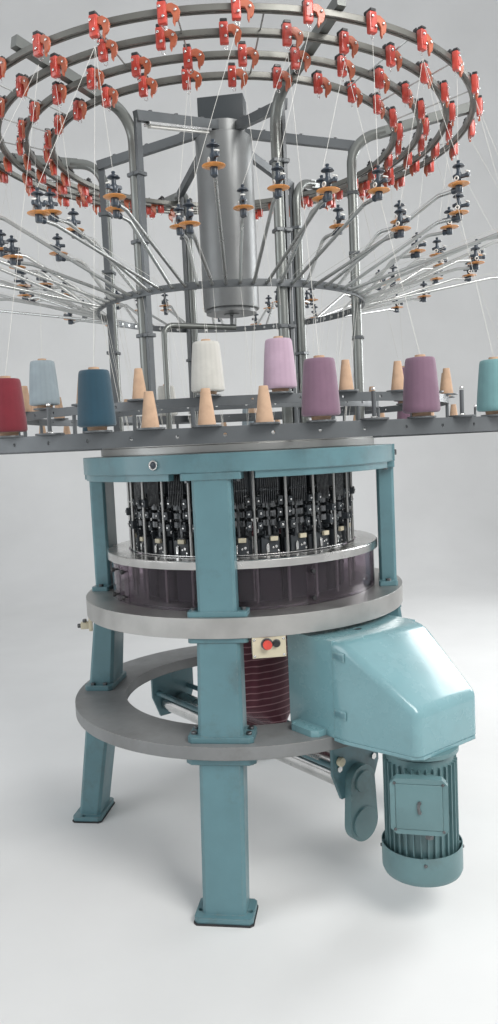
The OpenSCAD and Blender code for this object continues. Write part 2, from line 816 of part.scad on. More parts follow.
// Closed gearbox that turns the rollers, bolted to the outer side plate
module takedown_gearbox() {
  color(blue_green) rotate([0, 0, gear_az])
    translate([plate_r + plate_t2 / 2, 0, 0]) rotate([90, 0, 90])
      difference() {
        union() {
          linear_extrude(34) hull() {
            translate([0, roller_z - 4]) circle(r = 62, $fn = 48);
            translate([0, roller_z - 162]) circle(r = 72, $fn = 48);
          }
          translate([0, roller_z - 162, 33]) cylinder(r = 58, h = 8, $fn = 48);
          translate([0, roller_z - 4, 33]) cylinder(r = 40, h = 8, $fn = 48);
        }
        for (y = [-1, 1]) translate([y * (roller_r + roller_gap), roller_z, -1])
          cylinder(r = journal_r + 2, h = 12, $fn = 48);
      }
}

// Knitted tube between the cylinder and the rollers, closed form
fold_z = lower_ring_z + 6;
fold_half_w = 250;
module fabric_tube() {
  color(fabric_red)
    union() {
      rotate_extrude($fn = 96)
        polygon([
          [0, fold_z], [fabric_r + 4, fold_z], [fabric_r + 8, lower_top_z + 10],
          [fabric_r + 4, lower_top_z + 130], [fabric_r, mid_ring_z - 40],
          [fabric_r + 26, mid_ring_z + 20], [mid_hole_r - 10, mid_top_z - 10],
          [mid_hole_r - 2, mid_top_z], [flange_in_r - 6, mid_top_z + 14],
          [flange_in_r - 6, mid_top_z + 20 + run_gap], [bore_r - run_gap, mid_top_z + 20 + run_gap],
          [bore_r - run_gap, mid_top_z + cylinder_h - 30], [0, mid_top_z + cylinder_h - 30]
        ]);
      hull() {
        translate([0, 0, fold_z + 4]) cylinder(r = fabric_r - 2, h = 2, $fn = 96);
        rotate([0, 0, gear_az]) translate([-fold_half_w, -8, roller_z + roller_r + 1])
          cube([2 * fold_half_w, 16, 2]);
      }
    }
}

// Knitting heads: a cam box with a bracket, one for each system
head_in_r = cylinder_r + 19;
head_out_r = head_in_r + 30;
head_back_t = 7;
head_h = band_z - 24 - cam_top_z;
drum_axis_r = head_in_r + head_back_t + drum_r + 2;
low_arm_z = cam_top_z + 236;
high_arm_z = cam_top_z + 420;
head_arm_t = 14;
module knitting_head() {
  cut_block(head_in_r, head_in_r + head_back_t, 96, cam_top_z, head_h, 2);
  cut_block(head_in_r, head_out_r, 92, cam_top_z, low_arm_z - cam_top_z, 6);
  cut_block(head_in_r, drum_axis_r + 14, 40, low_arm_z - eps, head_arm_t + eps, 3);
  cut_block(head_in_r, head_out_r + 24, 99, high_arm_z, head_h - high_arm_z + cam_top_z, 8);
}
module knitting_heads() {
  color(dark_steel)
    for (i = [0:head_count - 1]) rotate([0, 0, 360 / head_count * (i + 0.5)]) knitting_head();
}

// Pattern drums: toothed wheels on a spindle, one for each head
wheel_h = 22;
wheel_gap = 12;
module pattern_drum() {
  spindle_z = low_arm_z + head_arm_t;
  translate([drum_axis_r, 0, spindle_z]) {
    cylinder(r = 9, h = high_arm_z - spindle_z, $fn = 24);
    for (k = [0:drum_wheels - 1]) translate([0, 0, 40 + k * (wheel_h + wheel_gap)])
      linear_extrude(wheel_h)
        polygon([for (t = [0:drum_teeth - 1]) for (p = [[0, 1], [0.6, 0.8]])
          let (a = 360 / drum_teeth * (t + p[0])) [drum_r * p[1] * cos(a), drum_r * p[1] * sin(a)]]);
  }
}
module pattern_drums() {
  color([0.12, 0.13, 0.15])
    for (i = [0:head_count - 1]) rotate([0, 0, 360 / head_count * (i + 0.5)]) pattern_drum();
}

// Rods that tie the cam ring to the bearing band
module head_rods() {
  color(steel)
    for (i = [0:head_count - 1]) rotate([0, 0, 360 / head_count * i])
      translate([rod_circle_r, 0, cam_top_z]) cylinder(r = 6, h = band_z - 24 - cam_top_z, $fn = 32);
}

// Revolving bearing band with its groove and top plate
module bearing_band() {
  color(steel)
    translate([0, 0, band_z - 24])
      rotate_extrude($fn = 180)
        polygon([
          [plate_in_r, 0], [band_r - 8, 0], [band_r - 8, 24], [band_r, 24],
          [band_r, 24 + band_h * 0.42], [band_r - 6, 24 + band_h * 0.46],
          [band_r - 6, 24 + band_h * 0.54], [band_r, 24 + band_h * 0.58],
          [band_r, 24 + band_h], [band_r - 72, 24 + band_h], [band_r - 72, 22], [plate_in_r, 22]
        ]);
}

// Radial creel arms with the uprights of the inner rings
module creel_arms() {
  color(grey_paint)
    for (i = [0:arm_count - 1]) rotate([0, 0, 360 / arm_count * i]) {
      translate([creel_post_r + tube_r + 6, -arm_w / 2, band_top_z])
        cube([outer_ring_r - bar_t - 0.2 - creel_post_r - tube_r - 6, arm_w, arm_t]);
      for (r = [inner_ring_r, middle_ring_r])
        translate([r - bar_t / 2, 0, arm_top_z - eps]) cylinder(r = 7, h = upright_h + eps, $fn = 32);
    }
}

// Flat bar ring on edge with a row of holes
module bar_ring(r, z, h, holes) {
  difference() {
    ring_plate(r, r - bar_t, z, h);
    for (i = [0:holes - 1]) rotate([0, 0, 360 / holes * (i + 0.25)])
      translate([r - 12, 0, z + h / 2]) rotate([0, 90, 0]) cylinder(r = 5, h = 20, $fn = 24);
  }
}
module outer_creel_ring() {
  color(grey_paint) bar_ring(outer_ring_r, outer_bar_z, outer_bar_h, 60);
}
module inner_creel_ring() {
  color(grey_paint) {
    bar_ring(inner_ring_r, high_bar_z, inner_bar_h, 36);
    bar_ring(middle_ring_r, high_bar_z, middle_bar_h, 36);
  }
}

// Angles of the cone places
outer_az = [for (i = [0:outer_cones - 1]) 360 / outer_cones * i + 1.7];
middle_az = [for (i = [0:middle_cones - 1]) 360 / middle_cones * i + 3.4];
middle_tray_z = high_bar_z + middle_bar_h;
full_outer = [2, 7, 13, 19, 25, 34, 36, 40, 42, 44];
empty_outer = [4, 10, 16, 22, 28, 35, 41, 43, 47];
full_middle = [2, 8, 15, 18, 19];

// Round tray and peg for one cone
module cone_tray(r, z) {
  translate([r - bar_t / 2, 0, z]) {
    cylinder(r = tray_plate_r, h = tray_plate_t, $fn = 48);
    cylinder(r = 6, h = cone_h * 0.8, $fn = 24);
  }
}
module cone_trays() {
  color(grey_paint) {
    for (a = outer_az) rotate([0, 0, a]) cone_tray(outer_ring_r, arm_top_z);
    for (a = middle_az) rotate([0, 0, a]) cone_tray(middle_ring_r, middle_tray_z);
  }
}

// Empty paper cones standing over the pegs
cone_base_r = 25;
cone_top_r = 12;
cone_wall = 2;
module paper_cone(r, z) {
  translate([r - bar_t / 2, 0, z + tray_plate_t])
    rotate_extrude($fn = 48)
      polygon([
        [cone_base_r - cone_wall, 0], [cone_base_r, 0], [cone_top_r, cone_h],
        [cone_top_r - cone_wall, cone_h]
      ]);
}
function is_in(v, list) = len([for (x = list) if (x == v) 1]) > 0;
module paper_cones() {
  color(paper_tan) {
    for (i = [0:outer_cones - 1]) if (!is_in(i, full_outer) && !is_in(i, empty_outer))
      rotate([0, 0, outer_az[i]]) paper_cone(outer_ring_r, arm_top_z);
    for (i = [0:middle_cones - 1]) if (!is_in(i, full_middle))
      rotate([0, 0, middle_az[i]]) paper_cone(middle_ring_r, middle_tray_z);
  }
}

// Wound yarn packages standing over the pegs
module yarn_package(r, z) {
  translate([r - bar_t / 2, 0, z + tray_plate_t])
    rotate_extrude($fn = 64)
      polygon([
        [24, 0], [27, 0], [28, 12], [package_r - 4, 12], [package_r, 18],
        [package_r - 11, 12 + package_h - 4], [package_r - 14, 12 + package_h],
        [16, 12 + package_h], [15, 20 + package_h], [13, 20 + package_h]
      ]);
}
module yarn_packages() {
  color(yarn_teal) {
    for (i = full_outer) if (i < outer_cones)
      rotate([0, 0, outer_az[i]]) yarn_package(outer_ring_r, arm_top_z);
    for (i = full_middle) if (i < middle_cones)
      rotate([0, 0, middle_az[i]]) yarn_package(middle_ring_r, middle_tray_z);
  }
}

// Creel posts: upright tubes that bend outwards, with a flat arm in the end of each
crown_bar_h = 36;
crown_bar_w = 29;
module creel_post() {
  arm_l = (crown_end_r - arm_start_r) / cos(arm_slope);
  translate([creel_post_r, 0, band_top_z]) cylinder(r = tube_r, h = post_rise + bend_lap, $fn = 48);
  translate([creel_post_r, 0, elbow_z]) tube_bend(bend_r, tube_r, elbow_turn);
  translate([arm_start_r, 0, arm_start_z]) rotate([0, 90 - arm_slope, 0]) {
    translate([0, 0, -bend_lap]) cylinder(r = tube_r, h = 48 + bend_lap, $fn = 48);
    translate([-crown_bar_h / 2, -crown_bar_w / 2, 20])
      cube([crown_bar_h, crown_bar_w, arm_l - 20]);
  }
}
module creel_posts() {
  color(grey_paint) for (a = post_az) rotate([0, 0, a]) creel_post();
}

// Spoke ring clamped between the posts
module spoke_ring() {
  color(grey_paint)
    difference() {
      union() {
        ring_plate(spoke_ring_r, spoke_ring_r - bar_t, spoke_z, spoke_bar_h);
        for (a = post_az) rotate([0, 0, a])
          translate([creel_post_r, -16, spoke_z])
            cube([spoke_ring_r - bar_t / 2 - creel_post_r, 32, spoke_bar_h]);
      }
      for (a = post_az) rotate([0, 0, a])
        translate([creel_post_r, 0, spoke_z - 1]) cylinder(r = tube_r + run_fit, h = spoke_bar_h + 2, $fn = 48);
      for (i = [0:rod_count - 1]) rotate([0, 0, rod_az(i)])
        translate([spoke_ring_r - 20, 0, spoke_z + spoke_bar_h / 2]) rotate([0, 90, 0])
          cylinder(r = rod_r + run_fit, h = 40, $fn = 24);
    }
}

// Yarn rods: out through the ring, up at a slant, then level again
function rod_az(i) = 360 / rod_count * (i + 0.5);
rod_lengths = [220, 400, 560, 300, 480, 130, 350, 520];
rod_rise = [38, 22, 10, 30, 16, 50, 12, 20];
function rod_len(i) = rod_lengths[i % 8];
function rod_tilt(i) = rod_rise[i % 8];
rod_lead = 14;
rod_bend_a = 30;
rod_bend_b = 50;
rod_tip = 45;
function rod_reach(i) =
  let (t = rod_tilt(i)) rod_lead + (rod_bend_a + rod_bend_b) * sin(t) + rod_len(i) * cos(t) + rod_tip;
function rod_up(i) =
  let (t = rod_tilt(i)) (rod_bend_a + rod_bend_b) * (1 - cos(t)) + rod_len(i) * sin(t);
module yarn_rod(i) {
  t = rod_tilt(i);
  translate([spoke_ring_r - bar_t, 0, spoke_z + spoke_bar_h / 2]) {
    rotate([0, 90, 0]) cylinder(r = rod_r, h = rod_lead + bend_lap, $fn = 24);
    translate([rod_lead, 0, 0]) rotate([0, 90, 0]) rotate([0, 0, 180]) tube_bend(rod_bend_a, rod_r, t);
    translate([rod_lead + rod_bend_a * sin(t), 0, rod_bend_a * (1 - cos(t))]) rotate([0, 90 - t, 0]) {
      translate([0, 0, -bend_lap]) cylinder(r = rod_r, h = rod_len(i) + 2 * bend_lap, $fn = 24);
      translate([0, 0, rod_len(i)]) tube_bend(rod_bend_b, rod_r, t);
    }
    translate([rod_reach(i) - rod_tip - bend_lap, 0, rod_up(i)]) rotate([0, 90, 0])
      cylinder(r = rod_r, h = rod_tip + bend_lap, $fn = 24);
  }
}
module yarn_rods() {
  color(steel) for (i = [0:rod_count - 1]) rotate([0, 0, rod_az(i)]) yarn_rod(i);
}

// Tensioner at the end of each rod: sleeve, body and disc
sleeve_l = 24;
disc_up = 12;
module tensioner(i) {
  translate([spoke_ring_r - bar_t + rod_reach(i), 0, spoke_z + spoke_bar_h / 2 + rod_up(i)]) {
    rotate([0, 90, 0]) cylinder(r = rod_r + 4, h = sleeve_l, $fn = 24);
    translate([sleeve_l, 0, 0]) {
      translate([-11, -11, -11]) cube([22, 22, 25]);
      translate([0, 0, 13]) cylinder(r = 10, h = 65, $fn = 24);
      translate([0, 0, disc_up]) cylinder(r = disc_r, h = 4, $fn = 32);
      translate([0, 0, disc_up + 56]) cylinder(r = 18, h = 5, $fn = 24);
    }
  }
}
module tensioners() {
  color(amber) for (i = [0:rod_count - 1]) rotate([0, 0, rod_az(i)]) tensioner(i);
}

// Crown rings hang under the arms of the posts
function crown_ring_r(k) = crown_r + crown_step * k;
function crown_ring_z(k) =
  arm_start_z + (crown_ring_r(k) - crown_w / 2 - arm_start_r) * tan(arm_slope)
  - crown_bar_h / 2 / cos(arm_slope) - 18.1;
module crown_rings() {
  color(dark_steel)
    for (k = [0:crown_count - 1])
      difference() {
        ring_plate(crown_ring_r(k) + crown_w / 2, crown_ring_r(k) - crown_w / 2, crown_ring_z(k), 18);
        translate([0, 0, crown_ring_z(k) - 1])
          rotate_extrude($fn = 180) translate([crown_ring_r(k) - 4, 0]) square([8, 5]);
      }
}

// Stop motions: a clamp on the ring, a red body and a feeler arm
module stop_motion() {
  translate([crown_w / 2, -17, -50]) cube([24, 34, 76]);
  translate([-crown_w / 2, -9, 18]) cube([crown_w + 2, 18, 8]);
  translate([crown_w / 2 + 4, 0, 0]) rotate([90, 0, 90]) linear_extrude(12)
    polygon([
      [6, 14], [30, 20], [50, 6], [57, -10], [52, -32], [40, -44], [34, -58],
      [29, -44], [29, -24], [22, -8], [6, -4]
    ]);
}
stop_shift = [0, 2, -2, 0];
module stop_motions() {
  color(signal_red)
    for (k = [0:crown_count - 1]) for (i = [0:stop_count - 1])
      rotate([0, 0, 360 / stop_count * (i + 0.5) + stop_shift[k]])
        translate([crown_ring_r(k), 0, crown_ring_z(k)]) stop_motion();
}

// Central drum with its box on top and a thin stem below
box_l = 190;
hub_r = 92;
hub_h = 52;
box_top_h = 108;
stem_l = 58;
module core_drum() {
  color(grey_paint) {
    translate([0, 0, core_z]) cylinder(r = core_r, h = core_h, $fn = 96);
    translate([0, 0, core_z - 16]) cylinder(r = core_r - 12, h = 16 + eps, $fn = 96);
    translate([0, 0, core_z - stem_l]) cylinder(r = 8, h = stem_l - 15, $fn = 32);
    translate([-box_l / 2, -box_l / 4, core_top_z + hub_h]) cube([box_l, box_l / 2, box_top_h]);
    translate([0, 0, core_top_z - eps]) cylinder(r = hub_r, h = hub_h + 2 * eps, $fn = 64);
  }
}

// Sloping bars from the drum's head to an upright strip beside each post
bar_side = tube_r + 0.2;
core_bar_w = 24;
core_bar_h = 36;
strip_w = 13;
strip_d = 26;
core_bar_slope = 11.6;
core_bar_z = core_top_z + hub_h / 2 - (creel_post_r + strip_d / 2 - hub_r) * tan(core_bar_slope);
module core_arms() {
  color(dark_steel)
    for (a = post_az) rotate([0, 0, a])
      difference() {
        union() {
          translate([creel_post_r + strip_d / 2, bar_side, core_bar_z]) rotate([0, core_bar_slope, 0])
            translate([-480, 0, -core_bar_h / 2]) cube([480, core_bar_w, core_bar_h]);
          translate([creel_post_r - strip_d / 2, bar_side, band_top_z])
            cube([strip_d, strip_w, core_bar_z - band_top_z]);
        }
        translate([0, 0, core_top_z - 20]) cylinder(r = hub_r + 0.1, h = hub_h + 80, $fn = 64);
      }
}

// Hanger tube that carries the stem of the drum, on a foot on the bearing band
hoop_r = 308;
hoop_bend = 40;
hoop_tube_r = 12;
module creel_hoop() {
  top_z = core_z - stem_l - hoop_tube_r;
  foot_z = band_z - 2;
  color(grey_paint) rotate([0, 0, 35]) translate([-hoop_r, 0, 0]) {
    translate([-66, -22, foot_z]) cube([82, 44, 8]);
    translate([0, 0, foot_z + 7]) cylinder(r = hoop_tube_r, h = top_z - hoop_bend - foot_z - 7 + bend_lap, $fn = 32);
    translate([0, 0, top_z - hoop_bend]) tube_bend(hoop_bend, hoop_tube_r, 90);
    translate([hoop_bend - bend_lap, 0, top_z]) rotate([0, 90, 0])
      cylinder(r = hoop_tube_r, h = hoop_r - hoop_bend + bend_lap + 14, $fn = 32);
  }
}

lower_ring();
middle_ring();
top_ring();
lower_leg(leg_az[0]);  // lower_leg_front
lower_leg(leg_az[1]);  // lower_leg_right
lower_leg(leg_az[2]);  // lower_leg_back
lower_leg(leg_az[3]);  // lower_leg_left
mid_leg(leg_az[0]);  // mid_leg_front
mid_leg(leg_az[1]);  // mid_leg_right
mid_leg(leg_az[2]);  // mid_leg_back
mid_leg(leg_az[3]);  // mid_leg_left
upper_post(leg_az[0]);  // post_front
upper_post(leg_az[1]);  // post_right
upper_post(leg_az[2]);  // post_back
upper_post(leg_az[3]);  // post_left
foot_pads();
leg_screws();
clear_guard();
guard_rim();
needle_cylinder();
gear_case();
hood_tray();
motor_body();
terminal_box();
fan_cowl();
control_box();
takedown_frame();
takedown_gearbox();
drive_belts();
fabric_tube();
gear_hood();
stop_button();
start_button();
drive_shaft();
lay_shaft();
motor_shaft();
front_roller();
rear_roller();
cam_ring();
ring_gear();
knitting_heads();
pattern_drums();
head_rods();
bearing_band();
creel_arms();
outer_creel_ring();
inner_creel_ring();
cone_trays();
paper_cones();
yarn_packages();
creel_posts();
spoke_ring();
yarn_rods();
tensioners();
crown_rings();
stop_motions();
core_drum();
core_arms();
creel_hoop();
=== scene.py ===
import math
import random
import bmesh
import bpy
import numpy as np
from mathutils import Matrix, Vector

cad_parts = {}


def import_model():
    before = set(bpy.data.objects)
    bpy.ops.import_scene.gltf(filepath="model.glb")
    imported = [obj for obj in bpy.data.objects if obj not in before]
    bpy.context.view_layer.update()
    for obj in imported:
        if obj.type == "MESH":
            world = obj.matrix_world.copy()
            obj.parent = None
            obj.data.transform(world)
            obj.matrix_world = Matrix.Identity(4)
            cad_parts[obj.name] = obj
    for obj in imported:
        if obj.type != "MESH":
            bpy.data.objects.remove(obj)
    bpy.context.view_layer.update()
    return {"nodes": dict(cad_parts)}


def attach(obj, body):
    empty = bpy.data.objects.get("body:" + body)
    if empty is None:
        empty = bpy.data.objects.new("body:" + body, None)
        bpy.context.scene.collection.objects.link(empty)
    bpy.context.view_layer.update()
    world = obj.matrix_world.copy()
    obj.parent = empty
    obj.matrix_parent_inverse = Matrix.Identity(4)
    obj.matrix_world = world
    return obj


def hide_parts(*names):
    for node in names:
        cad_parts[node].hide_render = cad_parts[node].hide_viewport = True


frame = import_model()
rnd = random.Random(11)
pi = math.pi
SIDES = (-1, 1)

# Camera, solved from the ellipses that the rings make in the photograph
CAM_PLACE = (0.5319, -3.3581, 1.6456)
CAM_DOWN, CAM_YAW, CAM_ROLL = 0.0841, 0.0102, -0.046
CAM_TURN = math.radians(9)
CAM_LENS, CAM_SENSOR = 27.816, 36


def make_camera():
    flat, drop = math.cos(CAM_DOWN), math.sin(CAM_DOWN)
    ahead, aside = math.cos(CAM_YAW), math.sin(CAM_YAW)
    forward = Vector((aside * flat, ahead * flat, -drop))
    level = Vector((ahead, -aside, 0))
    rise = level.cross(forward)
    right = math.cos(CAM_ROLL) * level + math.sin(CAM_ROLL) * rise
    up = -math.sin(CAM_ROLL) * level + math.cos(CAM_ROLL) * rise
    turn = Matrix.Rotation(CAM_TURN, 3, "Z")
    m = Matrix((turn @ right, turn @ up, -(turn @ forward))).transposed().to_4x4()
    m.translation = CAM_PLACE
    cam = bpy.data.objects.new("camera", bpy.data.cameras.new("camera"))
    cam.data.lens = CAM_LENS
    cam.data.sensor_width = CAM_SENSOR
    cam.data.clip_start = 0.05
    cam.data.clip_end = 100
    cam.matrix_world = m
    bpy.context.scene.collection.objects.link(cam)
    bpy.context.scene.camera = cam


make_camera()


# Materials
class Nodes:
    """A material being made: each call adds a node and gives back its output socket."""

    def __init__(self, name):
        self.material = bpy.data.materials.new(name)
        self.material.use_nodes = True
        self.tree = self.material.node_tree
        self.tree.nodes.clear()
        self.shader = self.node("ShaderNodeBsdfPrincipled")
        self.node("ShaderNodeOutputMaterial", {0: self.shader.outputs[0]})
        self.coords = self.node("ShaderNodeTexCoord").outputs

    def feed(self, socket, value):
        """Gives an input another node's output, a colour or a number."""
        if isinstance(value, bpy.types.NodeSocket):
            self.tree.links.new(value, socket)
        elif isinstance(value, tuple):
            socket.default_value = (*value, 1)
        else:
            socket.default_value = value

    def node(self, kind, inputs=None, **settings):
        made = self.tree.nodes.new(kind)
        for key, value in settings.items():
            setattr(made, key, value)
        for key, value in (inputs or {}).items():
            self.feed(made.inputs[key], value)
        return made

    def noise(self, scale, detail=4.0, rough=0.55):
        return self.node("ShaderNodeTexNoise", {"Vector": self.coords["Object"], "Scale": scale,
                                                "Detail": detail, "Roughness": rough}).outputs[0]

    def map(self, value, low, high, to_low, to_high):
        return self.node("ShaderNodeMapRange", {0: value, 1: low, 2: high, 3: to_low, 4: to_high}).outputs[0]

    def mix(self, a, b, share, mode="MIX"):
        made = self.node("ShaderNodeMix", {0: share, 6: a, 7: b}, data_type="RGBA", blend_type=mode)
        return made.outputs[2]

    def math(self, operation, a, b=0.0):
        return self.node("ShaderNodeMath", {0: a, 1: b}, operation=operation).outputs[0]

    def wave(self, value):
        """Rises from 0 to a half and falls back once in each unit of the value."""
        return self.math("PINGPONG", self.math("FRACT", value), 0.5)

    def patches(self, noise, dark, light):
        """Two tones of one colour in soft patches."""
        return self.mix(dark, light, self.map(noise, 0.3, 0.7, 0, 1))

    def bevel(self, radius):
        return self.node("ShaderNodeBevel", {"Radius": radius}, samples=4).outputs[0]

    def bump(self, height, strength, distance, normal=None):
        inputs = {"Height": height, "Strength": strength, "Distance": distance}
        if normal is not None:
            inputs["Normal"] = normal
        self.feed(self.shader.inputs["Normal"], self.node("ShaderNodeBump", inputs).outputs[0])

    def finish(self, colour, rough, **more):
        """Sets the shader. The names of more are its inputs, with _ for each space."""
        more.update(Base_Color=colour, Roughness=rough)
        for key, value in more.items():
            self.feed(self.shader.inputs[key.replace("_", " ")], value)
        return self.material


def tone(colour, share):
    return tuple(min(1.0, part * share) for part in colour)


def surface(name, col, rough=0.45, metal=0.0, var=0.08, vscale=5.0, grain=0.12, gscale=420.0, dirt=0.0,
            dirt_col=(0.06, 0.05, 0.045), dscale=7.0, edge=0.0, edge_col=(0.5, 0.5, 0.48), round_r=0.0,
            coat=0.0):
    """Painted, bare or moulded surface with tone, soil, wear at the edges and a fine grain."""
    N = Nodes(name)
    colour = N.patches(N.noise(vscale, 5.0), tone(col, 1 - var), tone(col, 1 + var))
    if dirt > 0:
        colour = N.mix(colour, dirt_col, N.map(N.noise(dscale, 8.0, 0.68), 0.52, 0.8, 0, dirt))
    least_bevel = 0.0025
    rounded = N.bevel(max(round_r, least_bevel)) if edge > 0 or round_r > 0 else None
    if edge > 0:
        normals = {0: rounded, 1: N.node("ShaderNodeNewGeometry").outputs["Normal"]}
        even = N.node("ShaderNodeVectorMath", normals, operation="DOT_PRODUCT").outputs["Value"]
        chips = N.map(N.noise(60.0, 6.0, 0.7), 0.46, 0.6, 0, edge)
        colour = N.mix(colour, edge_col, N.math("MULTIPLY", N.map(even, 0.985, 0.9, 0, 1), chips))
    N.bump(N.noise(gscale, 2.0), grain, 0.0004, rounded if round_r > 0 else None)
    low, high = max(0.03, rough - 0.08), min(1.0, rough + 0.08)
    shine = N.map(N.noise(vscale * 2.3, 6.0, 0.6), 0.25, 0.75, low, high)
    return N.finish(colour, shine, Metallic=metal, Coat_Weight=coat, Coat_Roughness=0.12)


def turned(name, col, rough, rings, dirt=0.15):
    """Turned metal: fine circular tool marks about the vertical axis."""
    N = Nodes(name)
    x, y, z = N.node("ShaderNodeSeparateXYZ", {0: N.coords["Object"]}).outputs
    radius = N.math("SQRT", N.math("ADD", N.math("MULTIPLY", x, x), N.math("MULTIPLY", y, y)))
    along = N.node("ShaderNodeCombineXYZ", {0: radius, 1: z}).outputs[0]
    marks = N.node("ShaderNodeTexNoise", {"Vector": along, "Scale": rings, "Detail": 2.0}).outputs[0]
    big = N.noise(6.0, 6.0, 0.65)
    colour = N.patches(big, tone(col, 0.86), tone(col, 1.08))
    colour = N.mix(colour, (0.12, 0.1, 0.08), N.map(N.noise(14.0, 9.0, 0.7), 0.55, 0.85, 0, dirt))
    N.bump(marks, 0.1, 0.0003, N.bevel(0.002))
    return N.finish(colour, N.map(big, 0.3, 0.7, rough - 0.06, rough + 0.12), Metallic=1.0)


def smoked(name):
    """Tinted see-through sheet, a little scratched."""
    N = Nodes(name)
    colour = N.patches(N.noise(9.0, 6.0, 0.65), (0.5, 0.43, 0.49), (0.62, 0.55, 0.6))
    scratches = N.map(N.noise(40.0, 8.0, 0.7), 0.35, 0.75, 0.02, 0.09)
    N.bump(N.noise(12.0, 3.0), 0.05, 0.001)
    return N.finish(colour, scratches, Transmission_Weight=0.97, IOR=1.3)


def wound(name, col):
    """Yarn wound crosswise on a cone: two sets of fine slanting turns over a soft fibre fuzz."""
    N = Nodes(name)
    around, up, _ = N.node("ShaderNodeSeparateXYZ", {0: N.coords["UV"]}).outputs
    layers, slope = 84.0, 9.0
    turns = [N.wave(N.math("ADD", N.math("MULTIPLY", around, way * slope), N.math("MULTIPLY", up, layers)))
             for way in (1, -1)]
    thread = N.math("MAXIMUM", *turns)
    fuzz = N.noise(900.0, 2.0)
    # Painted shade: the colour is darker in the grooves between the turns and lighter on the threads.
    colour = N.mix(tone(col, 0.84), tone(col, 1.06), N.map(thread, 0.05, 0.45, 0, 1))
    colour = N.mix(colour, tone(col, 1.28), N.map(N.noise(18.0, 4.0), 0.45, 0.75, 0, 0.5))
    N.bump(N.math("ADD", thread, N.math("MULTIPLY", fuzz, 0.35)), 0.38, 0.0012)
    return N.finish(colour, N.map(fuzz, 0.3, 0.7, 0.72, 0.92), Sheen_Weight=0.25, Sheen_Roughness=0.5)


def knitted(name, col, stripe):
    """Plain knitted cloth: rows of small loops, with thin stripes that climb round the tube."""
    N = Nodes(name)
    around, down, _ = N.node("ShaderNodeSeparateXYZ", {0: N.coords["UV"]}).outputs
    wale_count, rows_a_metre, stripes_a_metre = 620.0, 420.0, 36.0
    wales = N.wave(N.math("MULTIPLY", around, wale_count))
    courses = N.wave(N.math("MULTIPLY", down, rows_a_metre))
    loops = N.math("ADD", wales, N.math("MULTIPLY", courses, 0.7))
    climb = N.math("FRACT", N.math("ADD", N.math("MULTIPLY", down, stripes_a_metre), around))
    climb = N.math("ADD", climb, N.math("MULTIPLY", N.noise(26.0, 3.0), 0.12))
    line = N.map(N.math("ABSOLUTE", N.math("SUBTRACT", climb, 0.55)), 0.055, 0.11, 1, 0)
    big = N.noise(5.0, 5.0)
    colour = N.mix(N.patches(big, tone(col, 0.75), tone(col, 1.25)), stripe, N.math("MULTIPLY", line, 0.85))
    # Painted shade: the cloth is multiplied darker between the loops and a little lighter on their tops.
    light = N.map(loops, 0.0, 0.8, 0.62, 1.12)
    grey = N.node("ShaderNodeCombineColor", {0: light, 1: light, 2: light}).outputs[0]
    N.bump(loops, 0.6, 0.0012)
    return N.finish(N.mix(colour, grey, 1.0, "MULTIPLY"), N.map(big, 0.3, 0.7, 0.78, 0.95), Sheen_Weight=0.3)


